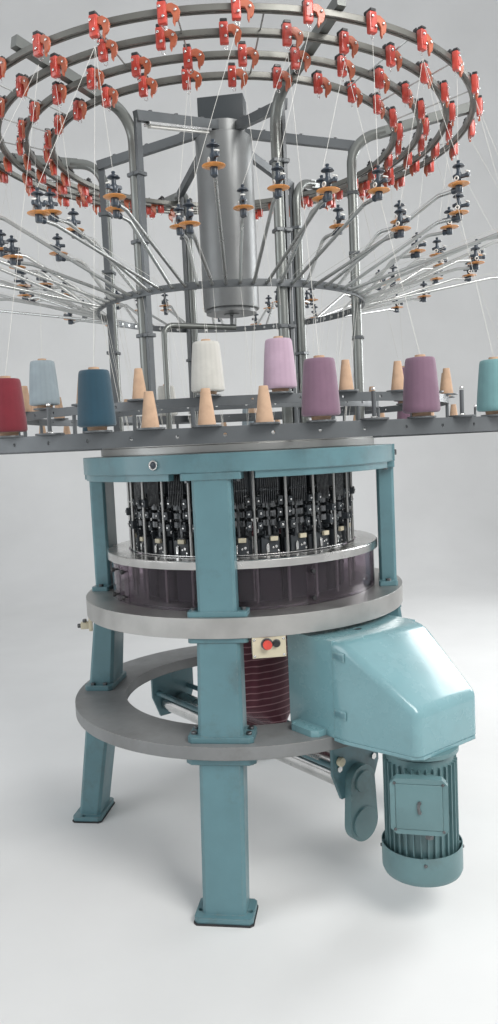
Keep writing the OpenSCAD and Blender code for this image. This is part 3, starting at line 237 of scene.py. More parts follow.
FRAME_COL = (0.115, 0.235, 0.265)
M = {
    "frame": surface("frame_paint", FRAME_COL, 0.36, var=0.1, dirt=0.35, edge=0.35,
                     edge_col=(0.3, 0.36, 0.36), grain=0.1, gscale=160, round_r=0.006, coat=0.25),
    "leg": surface("leg_paint", tone(FRAME_COL, 0.86), 0.42, var=0.12, dirt=0.55, edge=0.5,
                   edge_col=(0.22, 0.24, 0.22), grain=0.16, gscale=120, round_r=0.007, coat=0.15),
    "hood": surface("hood_paint", (0.175, 0.335, 0.365), 0.26, var=0.06, dirt=0.16, edge=0.25,
                    edge_col=(0.42, 0.5, 0.5), grain=0.06, gscale=90, round_r=0.004, coat=0.55),
    # The motor's paint is a darker copy of the hood's blue-green: painted shade for the motor under the
    # hood. Its soil is dirt.
    "motor": surface("motor_paint_shaded", (0.115, 0.21, 0.222), 0.4, var=0.12, dirt=0.55, edge=0.4,
                     edge_col=(0.33, 0.38, 0.36), grain=0.2, gscale=220, round_r=0.002, coat=0.15),
    "ring_top": turned("middle_ring_metal", (0.46, 0.455, 0.44), 0.42, 700),
    "lower": surface("lower_ring_paint", (0.19, 0.195, 0.195), 0.46, var=0.14, dirt=0.45,
                     dirt_col=(0.1, 0.09, 0.08), edge=0.7, edge_col=(0.42, 0.39, 0.34), grain=0.14,
                     gscale=200, round_r=0.004),
    "bright": surface("bright_steel", (0.62, 0.62, 0.61), 0.22, 1.0, vscale=20, dirt=0.18, grain=0.05,
                      gscale=900, round_r=0.0015),
    "rim": turned("polished_rim", (0.66, 0.65, 0.63), 0.22, 1100, dirt=0.1),
    "band": turned("bearing_band_metal", (0.36, 0.36, 0.35), 0.36, 900, dirt=0.3),
    "dark": surface("dark_iron", (0.03, 0.036, 0.042), 0.42, var=0.25, dirt=0.4,
                    dirt_col=(0.11, 0.1, 0.09), edge=0.55, edge_col=(0.24, 0.25, 0.26), grain=0.25,
                    gscale=260, round_r=0.0015),
    "oiled": surface("oiled_steel", (0.13, 0.135, 0.14), 0.32, 0.8, var=0.3, vscale=30, dirt=0.35,
                     edge=0.5, edge_col=(0.5, 0.5, 0.5), gscale=500, round_r=0.001),
    "rubber": surface("black_rubber", (0.022, 0.022, 0.024), 0.75, var=0.2, dirt=0.4,
                      dirt_col=(0.12, 0.11, 0.1), grain=0.3, gscale=600),
    "bar": surface("creel_bar_paint", (0.105, 0.114, 0.12), 0.4, 0.3, var=0.15, dirt=0.25, edge=0.4,
                   edge_col=(0.42, 0.43, 0.43), grain=0.08, gscale=500, round_r=0.0012),
    "tube": surface("creel_tube_metal", (0.185, 0.195, 0.185), 0.34, 0.6, var=0.1, dirt=0.2, grain=0.05,
                    gscale=700, coat=0.1),
    "rod": surface("yarn_rod_metal", (0.46, 0.47, 0.46), 0.3, 0.8, var=0.06, vscale=8, dirt=0.08,
                   grain=0.05, gscale=900),
    "crown": surface("crown_ring_paint", (0.155, 0.155, 0.14), 0.38, 0.4, var=0.14, dirt=0.35, edge=0.4,
                     edge_col=(0.5, 0.48, 0.44), grain=0.1, gscale=500, round_r=0.0012),
    "drum": surface("drum_paint", (0.165, 0.172, 0.172), 0.4, 0.25, var=0.07, vscale=3, dirt=0.25,
                    grain=0.1, gscale=260, coat=0.1),
    "box": surface("top_box_paint", (0.028, 0.034, 0.038), 0.5, var=0.2, dirt=0.3, edge=0.5,
                   edge_col=(0.2, 0.2, 0.2), grain=0.15, gscale=300, round_r=0.002),
    "card": surface("cone_card", (0.5, 0.335, 0.225), 0.85, var=0.12, vscale=40, dirt=0.3,
                    dirt_col=(0.3, 0.2, 0.13), dscale=40, grain=0.35, gscale=700),
    "red": surface("signal_red", (0.62, 0.055, 0.035), 0.34, var=0.15, vscale=30, dirt=0.3, grain=0.08,
                   gscale=700, coat=0.3),
    "stopred": surface("stop_motion_red", (0.52, 0.06, 0.04), 0.36, var=0.18, vscale=60, dirt=0.35,
                       grain=0.08, gscale=700, coat=0.35),
    "lever": surface("lever_coral", (0.46, 0.12, 0.058), 0.42, var=0.15, vscale=50, dirt=0.3,
                     grain=0.08, gscale=700, coat=0.2),
    "amber": surface("disc_amber", (0.72, 0.3, 0.085), 0.3, var=0.14, vscale=30, dirt=0.25,
                     grain=0.05, gscale=600, coat=0.4),
    "capblue": surface("cap_dark_blue", (0.022, 0.034, 0.05), 0.38, var=0.25, vscale=40, dirt=0.3,
                       grain=0.1, gscale=600, coat=0.2),
    "ceramic": surface("eyelet_ceramic", (0.72, 0.71, 0.67), 0.18, var=0.06, vscale=60, grain=0.03,
                       coat=0.5),
    "cream": surface("cream_paint", (0.62, 0.56, 0.41), 0.42, var=0.1, dirt=0.35, edge=0.4,
                     edge_col=(0.35, 0.3, 0.22), grain=0.1, gscale=300, round_r=0.001),
    "blackp": surface("black_plastic", (0.018, 0.018, 0.02), 0.35, var=0.2, dirt=0.25, grain=0.1,
                      gscale=500),
    "thread": surface("thread_pale", (0.66, 0.65, 0.61), 0.8, var=0.1, vscale=300, grain=0.3,
                      gscale=3000),
    "guard": smoked("smoked_guard"),
    "cloth": knitted("knitted_cloth", (0.105, 0.022, 0.036), (0.42, 0.22, 0.24)),
}

# The CAD nodes of each material. A leg that isn't listed has the leg paint, other nodes the frame's.
NODES_OF = {
    "hood": "gear_case hood_tray gear_hood", "motor": "motor_body terminal_box fan_cowl takedown_gearbox",
    "leg": "takedown_frame", "lower": "lower_ring", "ring_top": "middle_ring", "rim": "guard_rim",
    "guard": "clear_guard", "rubber": "foot_pads drive_belts", "cloth": "fabric_tube",
    "oiled": "leg_screws lay_shaft motor_shaft cam_ring pattern_drums", "dark": "knitting_heads",
    "bright": "needle_cylinder drive_shaft front_roller rear_roller ring_gear",
    "band": "head_rods bearing_band", "cream": "control_box", "red": "stop_button",
    "bar": "creel_arms outer_creel_ring inner_creel_ring cone_trays spoke_ring core_arms",
    "tube": "creel_posts creel_hoop", "rod": "yarn_rods", "crown": "crown_rings", "drum": "core_drum",
    "blackp": "start_button", "card": "paper_cones", "thread": "yarn_packages", "amber": "tensioners",
    "stopred": "stop_motions",
}
NODE_MAT = {node: key for key, nodes in NODES_OF.items() for node in nodes.split()}
for node, obj in frame["nodes"].items():
    key = NODE_MAT.get(node, "leg" if "leg" in node else "frame")
    for s in obj.material_slots:
        s.material = M[key]
    if not obj.material_slots:
        obj.data.materials.append(M[key])


# Places
def xf(loc=(0, 0, 0), rz=0.0, ry=0.0, rx=0.0):
    return (Matrix.Translation(loc) @ Matrix.Rotation(rz, 4, "Z") @ Matrix.Rotation(ry, 4, "Y")
            @ Matrix.Rotation(rx, 4, "X"))


def polar(r, deg, z=0.0):
    a = math.radians(deg)
    return Vector((r * math.cos(a), r * math.sin(a), z))


def at(deg, r=0.0, z=0.0, aside=0.0):
    """Frame whose X axis points outwards at that angle about the machine's axis."""
    return Matrix.Rotation(math.radians(deg), 4, "Z") @ Matrix.Translation((r, aside, z))


def facing(deg, r, z, aside=0.0):
    """Frame whose Z axis points outwards there, for a screw or knob."""
    return at(deg, r, z, aside) @ xf(ry=pi / 2)


# Mesh tools. Each shape is its points, its faces and the UVs of its faces, or None.
def from_bm(bm):
    bm.verts.ensure_lookup_table()
    v = np.array([x.co for x in bm.verts], float)
    f = [tuple(q.index for q in x.verts) for x in bm.faces]
    bm.free()
    return v, f, None


def hull_bm(points):
    bm = bmesh.new()
    for p in points:
        bm.verts.new(p)
    bmesh.ops.convex_hull(bm, input=bm.verts)
    bmesh.ops.dissolve_limit(bm, angle_limit=0.01, verts=bm.verts, edges=bm.edges)
    return bm


def cbox(sx, sy, sz, c=0.001, seg=1):
    """Box about the origin with rounded or chamfered edges."""
    bm = hull_bm([(x * sx / 2, y * sy / 2, z * sz / 2) for x in SIDES for y in SIDES for z in SIDES])
    bmesh.ops.bevel(bm, geom=list(bm.edges), offset=c, segments=seg, affect="EDGES", profile=0.5)
    return from_bm(bm)


def lathe(profile, n=24, uv=False):
    """Solid of revolution. The profile runs from bottom to top; points on the axis close it."""
    v, f, uvs, rings = [], [], [], []
    for r, z in profile:
        if r < 1e-6:
            rings.append([len(v)])
            v.append((0, 0, z))
        else:
            rings.append(list(range(len(v), len(v) + n)))
            v += [(r * math.cos(2 * pi * i / n), r * math.sin(2 * pi * i / n), z) for i in range(n)]
    length = [0.0]
    for (r0, z0), (r1, z1) in zip(profile, profile[1:]):
        length.append(length[-1] + math.hypot(r1 - r0, z1 - z0))
    for k in range(len(rings) - 1):
        a, b = rings[k], rings[k + 1]
        v0, v1 = length[k] / length[-1], length[k + 1] / length[-1]
        for i in range(n):
            j = (i + 1) % n
            u0, u1 = i / n, (i + 1) / n
            if len(a) == 1:
                f.append((a[0], b[j], b[i]))
                uvs.append([(u0, v0), (u1, v1), (u0, v1)])
            elif len(b) == 1:
                f.append((a[i], a[j], b[0]))
                uvs.append([(u0, v0), (u1, v0), (u0, v1)])
            else:
                f.append((a[i], a[j], b[j], b[i]))
                uvs.append([(u0, v0), (u1, v0), (u1, v1), (u0, v1)])
    return np.array(v, float), f, (uvs if uv else None)


def stub(r, h, n=6):
    """Plain round or hexagonal stub that stands on the origin."""
    return lathe([(0, 0), (r, 0), (r, h), (0, h)], n)


def head(r, side_h, top_r, h, n=6):
    """Screw head or nut with a chamfered top."""
    return lathe([(0, 0), (r, 0), (r, side_h), (top_r, h), (0, h)], n)


def smooth(points, k=6):
    """Points of a smooth curve through the given ones."""
    P = [Vector(p) for p in points]
    P = [2 * P[0] - P[1]] + P + [2 * P[-1] - P[-2]]
    out = []
    for i in range(1, len(P) - 2):
        a, b, c, d = P[i - 1:i + 3]
        for s in range(k):
            t = s / k
            out.append(0.5 * ((2 * b) + (c - a) * t + (2 * a - 5 * b + 4 * c - d) * t * t
                              + (3 * b - a - 3 * c + d) * t ** 3))
    out.append(P[-2])
    return out


def sweep(points, r, n=8, ring=False):
    """Round bar along points, closed on itself if it is a ring."""
    P = [Vector(p) for p in points]
    v, f = [], []
    up = None
    m = len(P)
    for i, p in enumerate(P):
        if ring:
            d = (P[(i + 1) % m] - P[i - 1]).normalized()
        else:
            d = (P[min(i + 1, m - 1)] - P[max(i - 1, 0)]).normalized()
        if up is None:
            up = d.orthogonal().normalized()
        up = (up - d * up.dot(d)).normalized()
        side = d.cross(up)
        for k in range(n):
            a = 2 * pi * k / n
            v.append(p + (up * math.cos(a) + side * math.sin(a)) * r)
    for i in range(m if ring else m - 1):
        for k in range(n):
            a, b = i * n, ((i + 1) % m) * n
            f.append((a + k, a + (k + 1) % n, b + (k + 1) % n, b + k))
    if not ring:
        f.append(tuple(range(n))[::-1])
        f.append(tuple((m - 1) * n + k for k in range(n)))
    return np.array([tuple(q) for q in v], float), f, None


def wire_ring(r, wire_r, points, n):
    turn = np.linspace(0, 2 * pi, points, endpoint=False)
    return sweep([(r * math.cos(a), r * math.sin(a), 0) for a in turn], wire_r, n, True)


def coil(r, length, turns, points, wire_r, n):
    return sweep([(r * math.cos(t * 2 * pi * turns), r * math.sin(t * 2 * pi * turns), length * t)
                  for t in np.linspace(0, 1, points)], wire_r, n)


def prism(poly, h, bevel):
    """Flat outline in XY given a height, with softened edges."""
    bm = bmesh.new()
    face = bm.faces.new([bm.verts.new((x, y, 0)) for x, y in poly])
    top = bmesh.ops.extrude_face_region(bm, geom=[face])["geom"]
    bmesh.ops.translate(bm, vec=(0, 0, h), verts=[g for g in top if isinstance(g, bmesh.types.BMVert)])
    bmesh.ops.recalc_face_normals(bm, faces=bm.faces)
    bmesh.ops.bevel(bm, geom=list(bm.edges), offset=bevel, segments=1, affect="EDGES", profile=0.5)
    return from_bm(bm)


class Build:
    """Collects many small solids into one piece."""

    def __init__(self):
        self.v, self.f, self.uv, self.mi, self.n = [], [], [], [], 0

    def add(self, shape, m=None, mi=0):
        v, f, uv = shape
        if m is not None:
            a = np.array(m)
            v = v @ a[:3, :3].T + a[:3, 3]
        self.v.append(v)
        self.f += [tuple(i + self.n for i in q) for q in f]
        self.uv += uv if uv else [None] * len(f)
        self.mi += [mi] * len(f)
        self.n += len(v)
        return self

    def make(self, name, mats, body, slot, angle=38, replaces=()):
        """Makes the piece. Faces that meet at less than the angle are shaded smooth."""
        me = bpy.data.meshes.new(name)
        me.from_pydata(np.vstack(self.v).tolist(), [], self.f)
        me.update()
        for x in [mats] if isinstance(mats, str) else mats:
            me.materials.append(M[x])
        me.polygons.foreach_set("material_index", self.mi)
        me.polygons.foreach_set("use_smooth", [True] * len(me.polygons))
        me.set_sharp_from_angle(angle=math.radians(angle))
        if any(self.uv):
            layer = me.uv_layers.new(name="UVMap")
            for poly, uv in zip(me.polygons, self.uv):
                for li, c in zip(poly.loop_indices, uv or [(0, 0)] * len(poly.loop_indices)):
                    layer.data[li].uv = c
        ob = bpy.data.objects.new(name, me)
        bpy.context.scene.collection.objects.link(ob)
        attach(ob, body)
        if replaces:
            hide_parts(*replaces)
        return ob


# Layout of the machine, in metres and degrees, as the CAD has it
GEAR_AZ = -44.0
CONTROL_AZ = -74.4
INLET_AZ = -95.0
SIGHT_AZ = -108.5
MOTOR_R = 0.955
BEAM_Z = 1.59
BAND_TOP = 1.688
POST_R = 0.522
POST_AZ = [-60 + 60 * i for i in range(6)]
POST_ASIDE = 0.0322
BEND_R, ELBOW_Z = 0.11, 2.762
CROWN_SLOPE = math.radians(9.8)
BEND = pi / 2 - CROWN_SLOPE
ARM_R0 = POST_R + BEND_R * (1 - math.cos(BEND))
ARM_Z0 = ELBOW_Z + BEND_R * math.sin(BEND)
CROWN_N = 4


def crown_r(k):
    return 0.695 + 0.1005 * k


def crown_z(k):
    """Middle of a crown ring, which hangs under the posts' sloping arms."""
    half_bar, half_arm, ring_drop = 0.011, 0.018, 0.0181
    along = crown_r(k) - half_bar - ARM_R0
    return ARM_Z0 + along * math.tan(CROWN_SLOPE) - half_arm / math.cos(CROWN_SLOPE) - ring_drop


def hood():
    """Folded shell with soft edges, open below and towards the machine."""
    aside, half_w, half_end = 0.03, 0.22, 0.158
    low_z, roof_z, end_z = 0.6123, 0.955, 0.7623
    mouth_r, fold_r, end_r = 0.738, 0.785, 1.062
    corners = []
    for r, half, top in ((mouth_r, half_w, roof_z), (fold_r, half_w, roof_z), (end_r, half_end, end_z)):
        corners += [(r, aside + side * half, z) for side in SIDES for z in (low_z, top)]
    bm = hull_bm(corners)
    bmesh.ops.recalc_face_normals(bm, faces=bm.faces)
    folds = []
    for edge in bm.edges:
        mid = (edge.verts[0].co + edge.verts[1].co) / 2
        if mid.x > mouth_r + 0.001 and mid.z > low_z + 0.001:
            folds.append(edge)
    bmesh.ops.bevel(bm, geom=folds, offset=0.026, segments=6, affect="EDGES", profile=0.5)
    mouths = [f for f in bm.faces if f.normal.x < -0.9 or f.normal.z < -0.9]
    bmesh.ops.delete(bm, geom=mouths, context="FACES")
    bmesh.ops.solidify(bm, geom=list(bm.faces), thickness=0.004)
    bmesh.ops.recalc_face_normals(bm, faces=bm.faces)
    shell = Build().add(from_bm(bm), at(GEAR_AZ))
    shell.make("hood_shell", "hood", "hood", "hood_paint", 50, ["gear_hood"])
    latches = Build()
    rim = cbox(0.06, 0.003, 0.032, 0.0012, 2)
    # The slot is no recess: a rectangle of the darker frame paint, standing a little proud of its plate, is
    # painted shade for the grip's recess.
    slot = cbox(0.05, 0.0034, 0.02, 0.0012, 2)
    proud = 0.0004
    for side in SIDES:
        for z in (0.7, 0.905):
            m = at(GEAR_AZ, 0.768, z, aside + side * (half_w + proud))
            latches.add(rim, m)
            latches.add(slot, m @ xf((0, side * proud, 0)), 1)
    latches.make("hood_latches", ["hood", "frame"], "hood", "hood_paint")


hood()

# Stop motions
STOP_N = 30
STOP_SHIFT = [0, 2, -2, 0]


def stop_places():
    """Ring and angle of each stop motion."""
    for k in range(CROWN_N):
        for i in range(STOP_N):
            yield k, 360 / STOP_N * (i + 0.5) + STOP_SHIFT[k]


def stop_motions():
    clamp, body, lever, tip = Build(), Build(), Build(), Build()
    knob = lathe([(0, 0.0), (0.0095, 0.0), (0.0105, 0.002), (0.0105, 0.009), (0.0088, 0.011),
                  (0.004, 0.0115), (0.004, 0.015), (0, 0.016)], 14)
    jaw = cbox(0.024, 0.018, 0.009, 0.002)
    case = cbox(0.021, 0.027, 0.062, 0.004, 2)
    plate = cbox(0.003, 0.019, 0.04, 0.0012)
    cap = cbox(0.018, 0.022, 0.01, 0.002)
    fin = prism([(0.006, 0.014), (0.018, 0.019), (0.03, 0.019), (0.05, 0.006), (0.057, -0.01),
                 (0.052, -0.032), (0.043, -0.043), (0.04, -0.04), (0.034, -0.057), (0.029, -0.044),
                 (0.031, -0.022), (0.024, -0.008), (0.006, -0.004)], 0.01, 0.0012)
    stand = Matrix(((0, 0, 1, 0), (1, 0, 0, 0), (0, 1, 0, 0), (0, 0, 0, 1))) @ Matrix.Scale(0.86, 4)
    pin = head(0.0042, 0.004, 0.002, 0.0055, 10)
    hook = sweep(smooth([(0, 0, 0), (0.004, 0, -0.01), (0.01, 0, -0.014), (0.015, 0, -0.01),
                         (0.014, 0, -0.003)], 3), 0.0011, 6)
    for k, deg in stop_places():
        lean = math.radians(rnd.uniform(-4, 4))
        m = at(deg, crown_r(k), crown_z(k))
        clamp.add(jaw, m @ xf((0.000, 0, 0.0225)))
        clamp.add(knob, m @ xf((0.001, 0, 0.0262)))
        clamp.add(cap, m @ xf((0.0235, 0, 0.031)))
        q = m @ xf((0.0222, 0, -0.004), rx=lean * 0.3)
        body.add(case, q)
        body.add(plate, q @ xf((0.0112, 0, 0.002)))
        tip.add(pin, q @ xf((0.0122, -0.005, 0.014), ry=pi / 2))
        tip.add(pin, q @ xf((0.0122, 0.005, -0.014), ry=pi / 2))
        tip.add(hook, m @ xf((0.02, -0.004, -0.034), rz=2.0))
        lever.add(fin, m @ xf((0.018, 0.004, 0.004), rx=lean) @ stand)
        tip.add(pin, m @ xf((0.0262, 0.04, 0.000), ry=pi / 2))
    clamp.make("stop_clamps", "blackp", "rotor", "crown_dark")
    body.make("stop_bodies", "stopred", "rotor", "stop_red", 38, ["stop_motions"])
    lever.make("stop_levers", "lever", "rotor", "stop_red")
    tip.make("stop_tips", "bright", "rotor", "rod_steel")


stop_motions()

# Tensioners, one at the end of each yarn rod
ROD_N = 72
ROD_LEN = [0.22, 0.4, 0.56, 0.3, 0.48, 0.13, 0.35, 0.52]
ROD_TILT = [38, 22, 10, 30, 16, 50, 12, 20]
ROD_BEND = 0.08
SLEEVE_L = 0.024
SPOKE_R, SPOKE_Z = 0.552, 2.217


def rod_end(i):
    """Angle, radius and height of the end of a yarn rod."""
    tilt, length = math.radians(ROD_TILT[i % 8]), ROD_LEN[i % 8]
    foot, top = 0.014, 0.045
    reach = foot + ROD_BEND * math.sin(tilt) + length * math.cos(tilt) + top + SLEEVE_L
    rise = ROD_BEND * (1 - math.cos(tilt)) + length * math.sin(tilt)
    return 360 / ROD_N * (i + 0.5), SPOKE_R + reach, SPOKE_Z + rise


def tensioners():
    cap, disc, eye, sleeve = Build(), Build(), Build(), Build()
    stem = lathe([(0, -0.01), (0.01, -0.01), (0.011, -0.007), (0.011, 0.01), (0.009, 0.018),
                  (0.0075, 0.024), (0.01, 0.031), (0.0115, 0.038), (0.01, 0.046), (0.0065, 0.052),
                  (0.0065, 0.064), (0.014, 0.066), (0.0185, 0.0675), (0.0185, 0.069), (0.014, 0.0735),
                  (0.006, 0.076), (0.0045, 0.079), (0.006, 0.083), (0.0045, 0.086), (0, 0.087)], 18)
    dish = lathe([(0, 0.0118), (0.012, 0.0116), (0.026, 0.0122), (0.0325, 0.0145), (0.033, 0.0155),
                  (0.032, 0.0162), (0.025, 0.0146), (0.014, 0.014), (0, 0.0142)], 28)
    hub = lathe([(0, 0.013), (0.0095, 0.013), (0.0095, 0.0175), (0.007, 0.019), (0, 0.019)], 16)
    arm = cbox(0.026, 0.009, 0.011, 0.002)
    ball = lathe([(0, -0.008), (0.006, -0.006), (0.008, 0), (0.006, 0.006), (0, 0.008)], 12)
    eyelet = wire_ring(0.0062, 0.0021, 16, 8)
    coupling = lathe([(0, 0), (0.0085, 0), (0.0098, 0.001), (0.0098, 0.009), (0.0085, 0.01),
                      (0.0085, 0.016), (0.0098, 0.017), (0.0098, 0.023), (0, SLEEVE_L)], 16)
    for i in range(ROD_N):
        deg, r, z = rod_end(i)
        m = at(deg, r, z) @ xf(rz=rnd.uniform(-0.5, 0.5))
        cap.add(stem, m)
        disc.add(dish, m)
        cap.add(hub, m)
        cap.add(arm, m @ xf((0.016, 0, 0.036)))
        cap.add(ball, m @ xf((0.03, 0, 0.036)))
        cap.add(arm, m @ xf((-0.012, 0.004, 0.044), rz=2.6))
        eye.add(eyelet, m @ xf((0.0, -0.014, 0.03), rx=pi / 2))
        eye.add(eyelet, m @ xf((0.03, 0, 0.047), ry=0.4))
        sleeve.add(coupling, facing(deg, r - SLEEVE_L, z))
    cap.make("tensioner_bodies", "capblue", "rotor", "crown_dark")
    disc.make("tensioner_discs", "amber", "rotor", "disc_amber", 38, ["tensioners"])
    eye.make("tensioner_eyelets", "ceramic", "rotor", "disc_amber")
    sleeve.make("tensioner_sleeves", "capblue", "rotor", "crown_dark")


tensioners()

# Packages and cones: the pegs that hold a package, by number, and the outer pegs that stand empty
FULL = {
    "outer": {34: "red", 36: "teal", 40: "mauve", 42: "mauve", 44: "paleteal", 2: "greyblue",
              7: "mauve", 13: "greyblue", 19: "teal", 25: "red"},
    "middle": {15: "greyblue", 18: "white", 19: "lilac", 2: "mauve", 8: "white"},
}
EMPTY = {"outer": {4, 10, 16, 22, 28, 35, 41, 43, 47}, "middle": set()}
YARN = {"red": (0.15, 0.008, 0.018), "teal": (0.008, 0.045, 0.072), "mauve": (0.17, 0.095, 0.14),
        "paleteal": (0.14, 0.28, 0.29), "greyblue": (0.25, 0.3, 0.325), "white": (0.5, 0.49, 0.45),
        "lilac": (0.42, 0.3, 0.38)}


# Row of pegs, their count, the angle of the first, and the radius and height of their plates
PEG_ROWS = [("outer", 50, 1.7, 1.247, 1.704), ("middle", 24, 3.4, 0.877, 1.808)]


def cone_places():
    """Row, number, angle, radius and height of each peg's plate."""
    for row, count, shift, r, z in PEG_ROWS:
        for i in range(count):
            yield row, i, 360 / count * i + shift, r, z


def packages():
    foot = [(0.0225, 0.0005), (0.0262, 0.0), (0.0275, 0.0115)]
    yarn = [(0.0275, 0.0115), (0.046, 0.012), (0.0505, 0.0135), (0.0535, 0.018), (0.053, 0.03),
            (0.05, 0.075), (0.0465, 0.12), (0.0432, 0.155), (0.0415, 0.163), (0.0385, 0.1665),
            (0.03, 0.1672), (0.0155, 0.1675)]
    mouth = [(0.0155, 0.1675), (0.015, 0.1745), (0.013, 0.1752), (0.012, 0.17), (0.0215, 0.004), foot[0]]
    winding = lathe(yarn, 48, True)
    core_ends = [lathe(foot, 32), lathe(mouth, 32)]
    groups = {}
    cores = Build()
    for row, i, deg, r, z in cone_places():
        col = FULL[row].get(i)
        if not col:
            continue
        m = at(deg, r, z) @ xf(rz=rnd.uniform(0, 6.28))
        groups.setdefault(col, Build()).add(winding, m)
        for end in core_ends:
            cores.add(end, m)
    stands_for = ["yarn_packages"]
    for col, group in groups.items():
        M["yarn_" + col] = wound("yarn_" + col, YARN[col])
        group.make("package_" + col, "yarn_" + col, "rotor", "yarn_wound", 60, stands_for)
        stands_for = ()
    cores.make("package_cores", "card", "rotor", "cone_tan")


def card_cones():
    cone = lathe([(0.0228, 0.0004), (0.025, 0.0), (0.0252, 0.0012), (0.0247, 0.0035), (0.019, 0.05),
                  (0.013, 0.0945), (0.0127, 0.0975), (0.012, 0.0995), (0.0108, 0.0998), (0.0102, 0.0985),
                  (0.011, 0.092), (0.0172, 0.046), (0.0228, 0.0004)], 40)
    cones = Build()
    for row, i, deg, r, z in cone_places():
        if i not in FULL[row] and i not in EMPTY[row]:
            cones.add(cone, at(deg, r, z) @ xf(rz=rnd.uniform(0, 6.28)))
    cones.make("card_cones", "card", "rotor", "cone_tan", 38, ["paper_cones"])


packages()
card_cones()


def yarns():
    """Thin taut threads: package to stop motion to tensioner to spoke ring to cylinder."""
    threads = Build()
    thread_r = 0.0007
    package_top, eyelet_r, eyelet_z = 0.176, 0.024, -0.06
    disc_z, cap_z, cylinder_r, cylinder_z = 0.03, 0.086, 0.47, 1.7

    def line(start, end):
        threads.add(sweep([start, end], thread_r, 5))

    def turn(a, b):
        return abs((a - b + 180) % 360 - 180)
    stops = [(deg, crown_r(k) + eyelet_r, crown_z(k) + eyelet_z) for k, deg in stop_places()]
    free = list(stops)
    wanted_r = {"outer": 0.99, "middle": 0.8}
    # The nearest stop motion is taken, with a metre of radius counted as 40 or 60 degrees
    for row, i, deg, r, z in cone_places():
        if i in FULL[row]:
            stop = min(free, key=lambda s: turn(s[0], deg) + 40 * abs(s[1] - wanted_r[row]))
            free.remove(stop)
            line(polar(r, deg, z + package_top), polar(stop[1], stop[0], stop[2]))
    for i in range(ROD_N):
        if i % 3 == 1:
            continue
        deg, r, z = rod_end(i)
        stop = min(stops, key=lambda s: turn(s[0], deg + 4) + 60 * abs(s[1] - (r + 0.05)))
        line(polar(stop[1], stop[0], stop[2]), polar(r, deg, z + cap_z))
        line(polar(r - 0.012, deg, z + disc_z), polar(SPOKE_R + 0.008, deg, SPOKE_Z + 0.023))
        line(polar(SPOKE_R - 0.004, deg, SPOKE_Z + 0.019),
             polar(cylinder_r, 15 * round(deg / 15) + 3, cylinder_z))
    threads.make("yarns", "thread", "rotor", "yarn_wound")


yarns()


def cloth():
    """Knitted tube that narrows below the cylinder and is drawn flat between the rollers."""
    n, flat_rings = 180, 16
    profile = [(0.3565, 1.262), (0.356, 1.2), (0.35, 1.13), (0.338, 1.085), (0.314, 1.058),
               (0.294, 1.04), (0.27, 1.01), (0.238, 0.985), (0.22, 0.955), (0.2135, 0.92),
               (0.213, 0.86), (0.215, 0.8), (0.2165, 0.74), (0.2185, 0.68), (0.2205, 0.62),
               (0.219, 0.58)]
    end_r, end_z = profile[-1]
    flat_h, flat_step = 0.158, 0.0105
    flat_half, flat_gap = 0.236, 0.0045
    fold_z, fold_rise = 1.03, 0.15
    points = smooth([(r, 0, z) for r, z in profile], 5)
    rings = [(p.x, p.z, 0.0) for p in points]
    down = [0.0]
    for a, b in zip(points, points[1:]):
        down.append(down[-1] + (b - a).length)
    for s in range(1, flat_rings + 1):
        rings.append((end_r, end_z - flat_h * s / flat_rings, s / flat_rings))
        down.append(down[-1] + flat_step)
    turn = math.radians(GEAR_AZ)
    v, f, uv = [], [], []
    for r, z, flat in rings:
        for i in range(n):
            a = 2 * pi * i / n
            if flat > 0:
                e = flat * flat * (3 - 2 * flat)
                x = (r * (1 - e) + flat_half * e) * math.cos(a - turn) * (1 + 0.02 * e)
                y = r * math.sin(a - turn) * (1 - e) + e * flat_gap * math.sin(a - turn)
                y += 0.01 * e * (1 - e) * math.sin(17 * a)
                v.append((x * math.cos(turn) - y * math.sin(turn),
                          x * math.sin(turn) + y * math.cos(turn), z))
            else:
                share = min(1.0, max(0.0, (fold_z - z) / fold_rise))
                depth = 0.0016 + 0.0014 * math.sin(5 * a + 3 * z)
                folded = r - share * depth * (1 + math.sin(23 * a + 9 * math.sin(3 * z)))
                v.append((folded * math.cos(a), folded * math.sin(a), z))
    for j in range(len(rings) - 1):
        for i in range(n):
            k = (i + 1) % n
            f.append((j * n + i, j * n + k, (j + 1) * n + k, (j + 1) * n + i))
            u0, u1 = i / n, (i + 1) / n
            uv.append([(u0, down[j]), (u1, down[j]), (u1, down[j + 1]), (u0, down[j + 1])])
    tube = Build().add((np.array(v, float), f, uv))
    ob = tube.make("cloth_tube", "cloth", "base", "cloth_maroon", 80, ["fabric_tube"])


cloth()

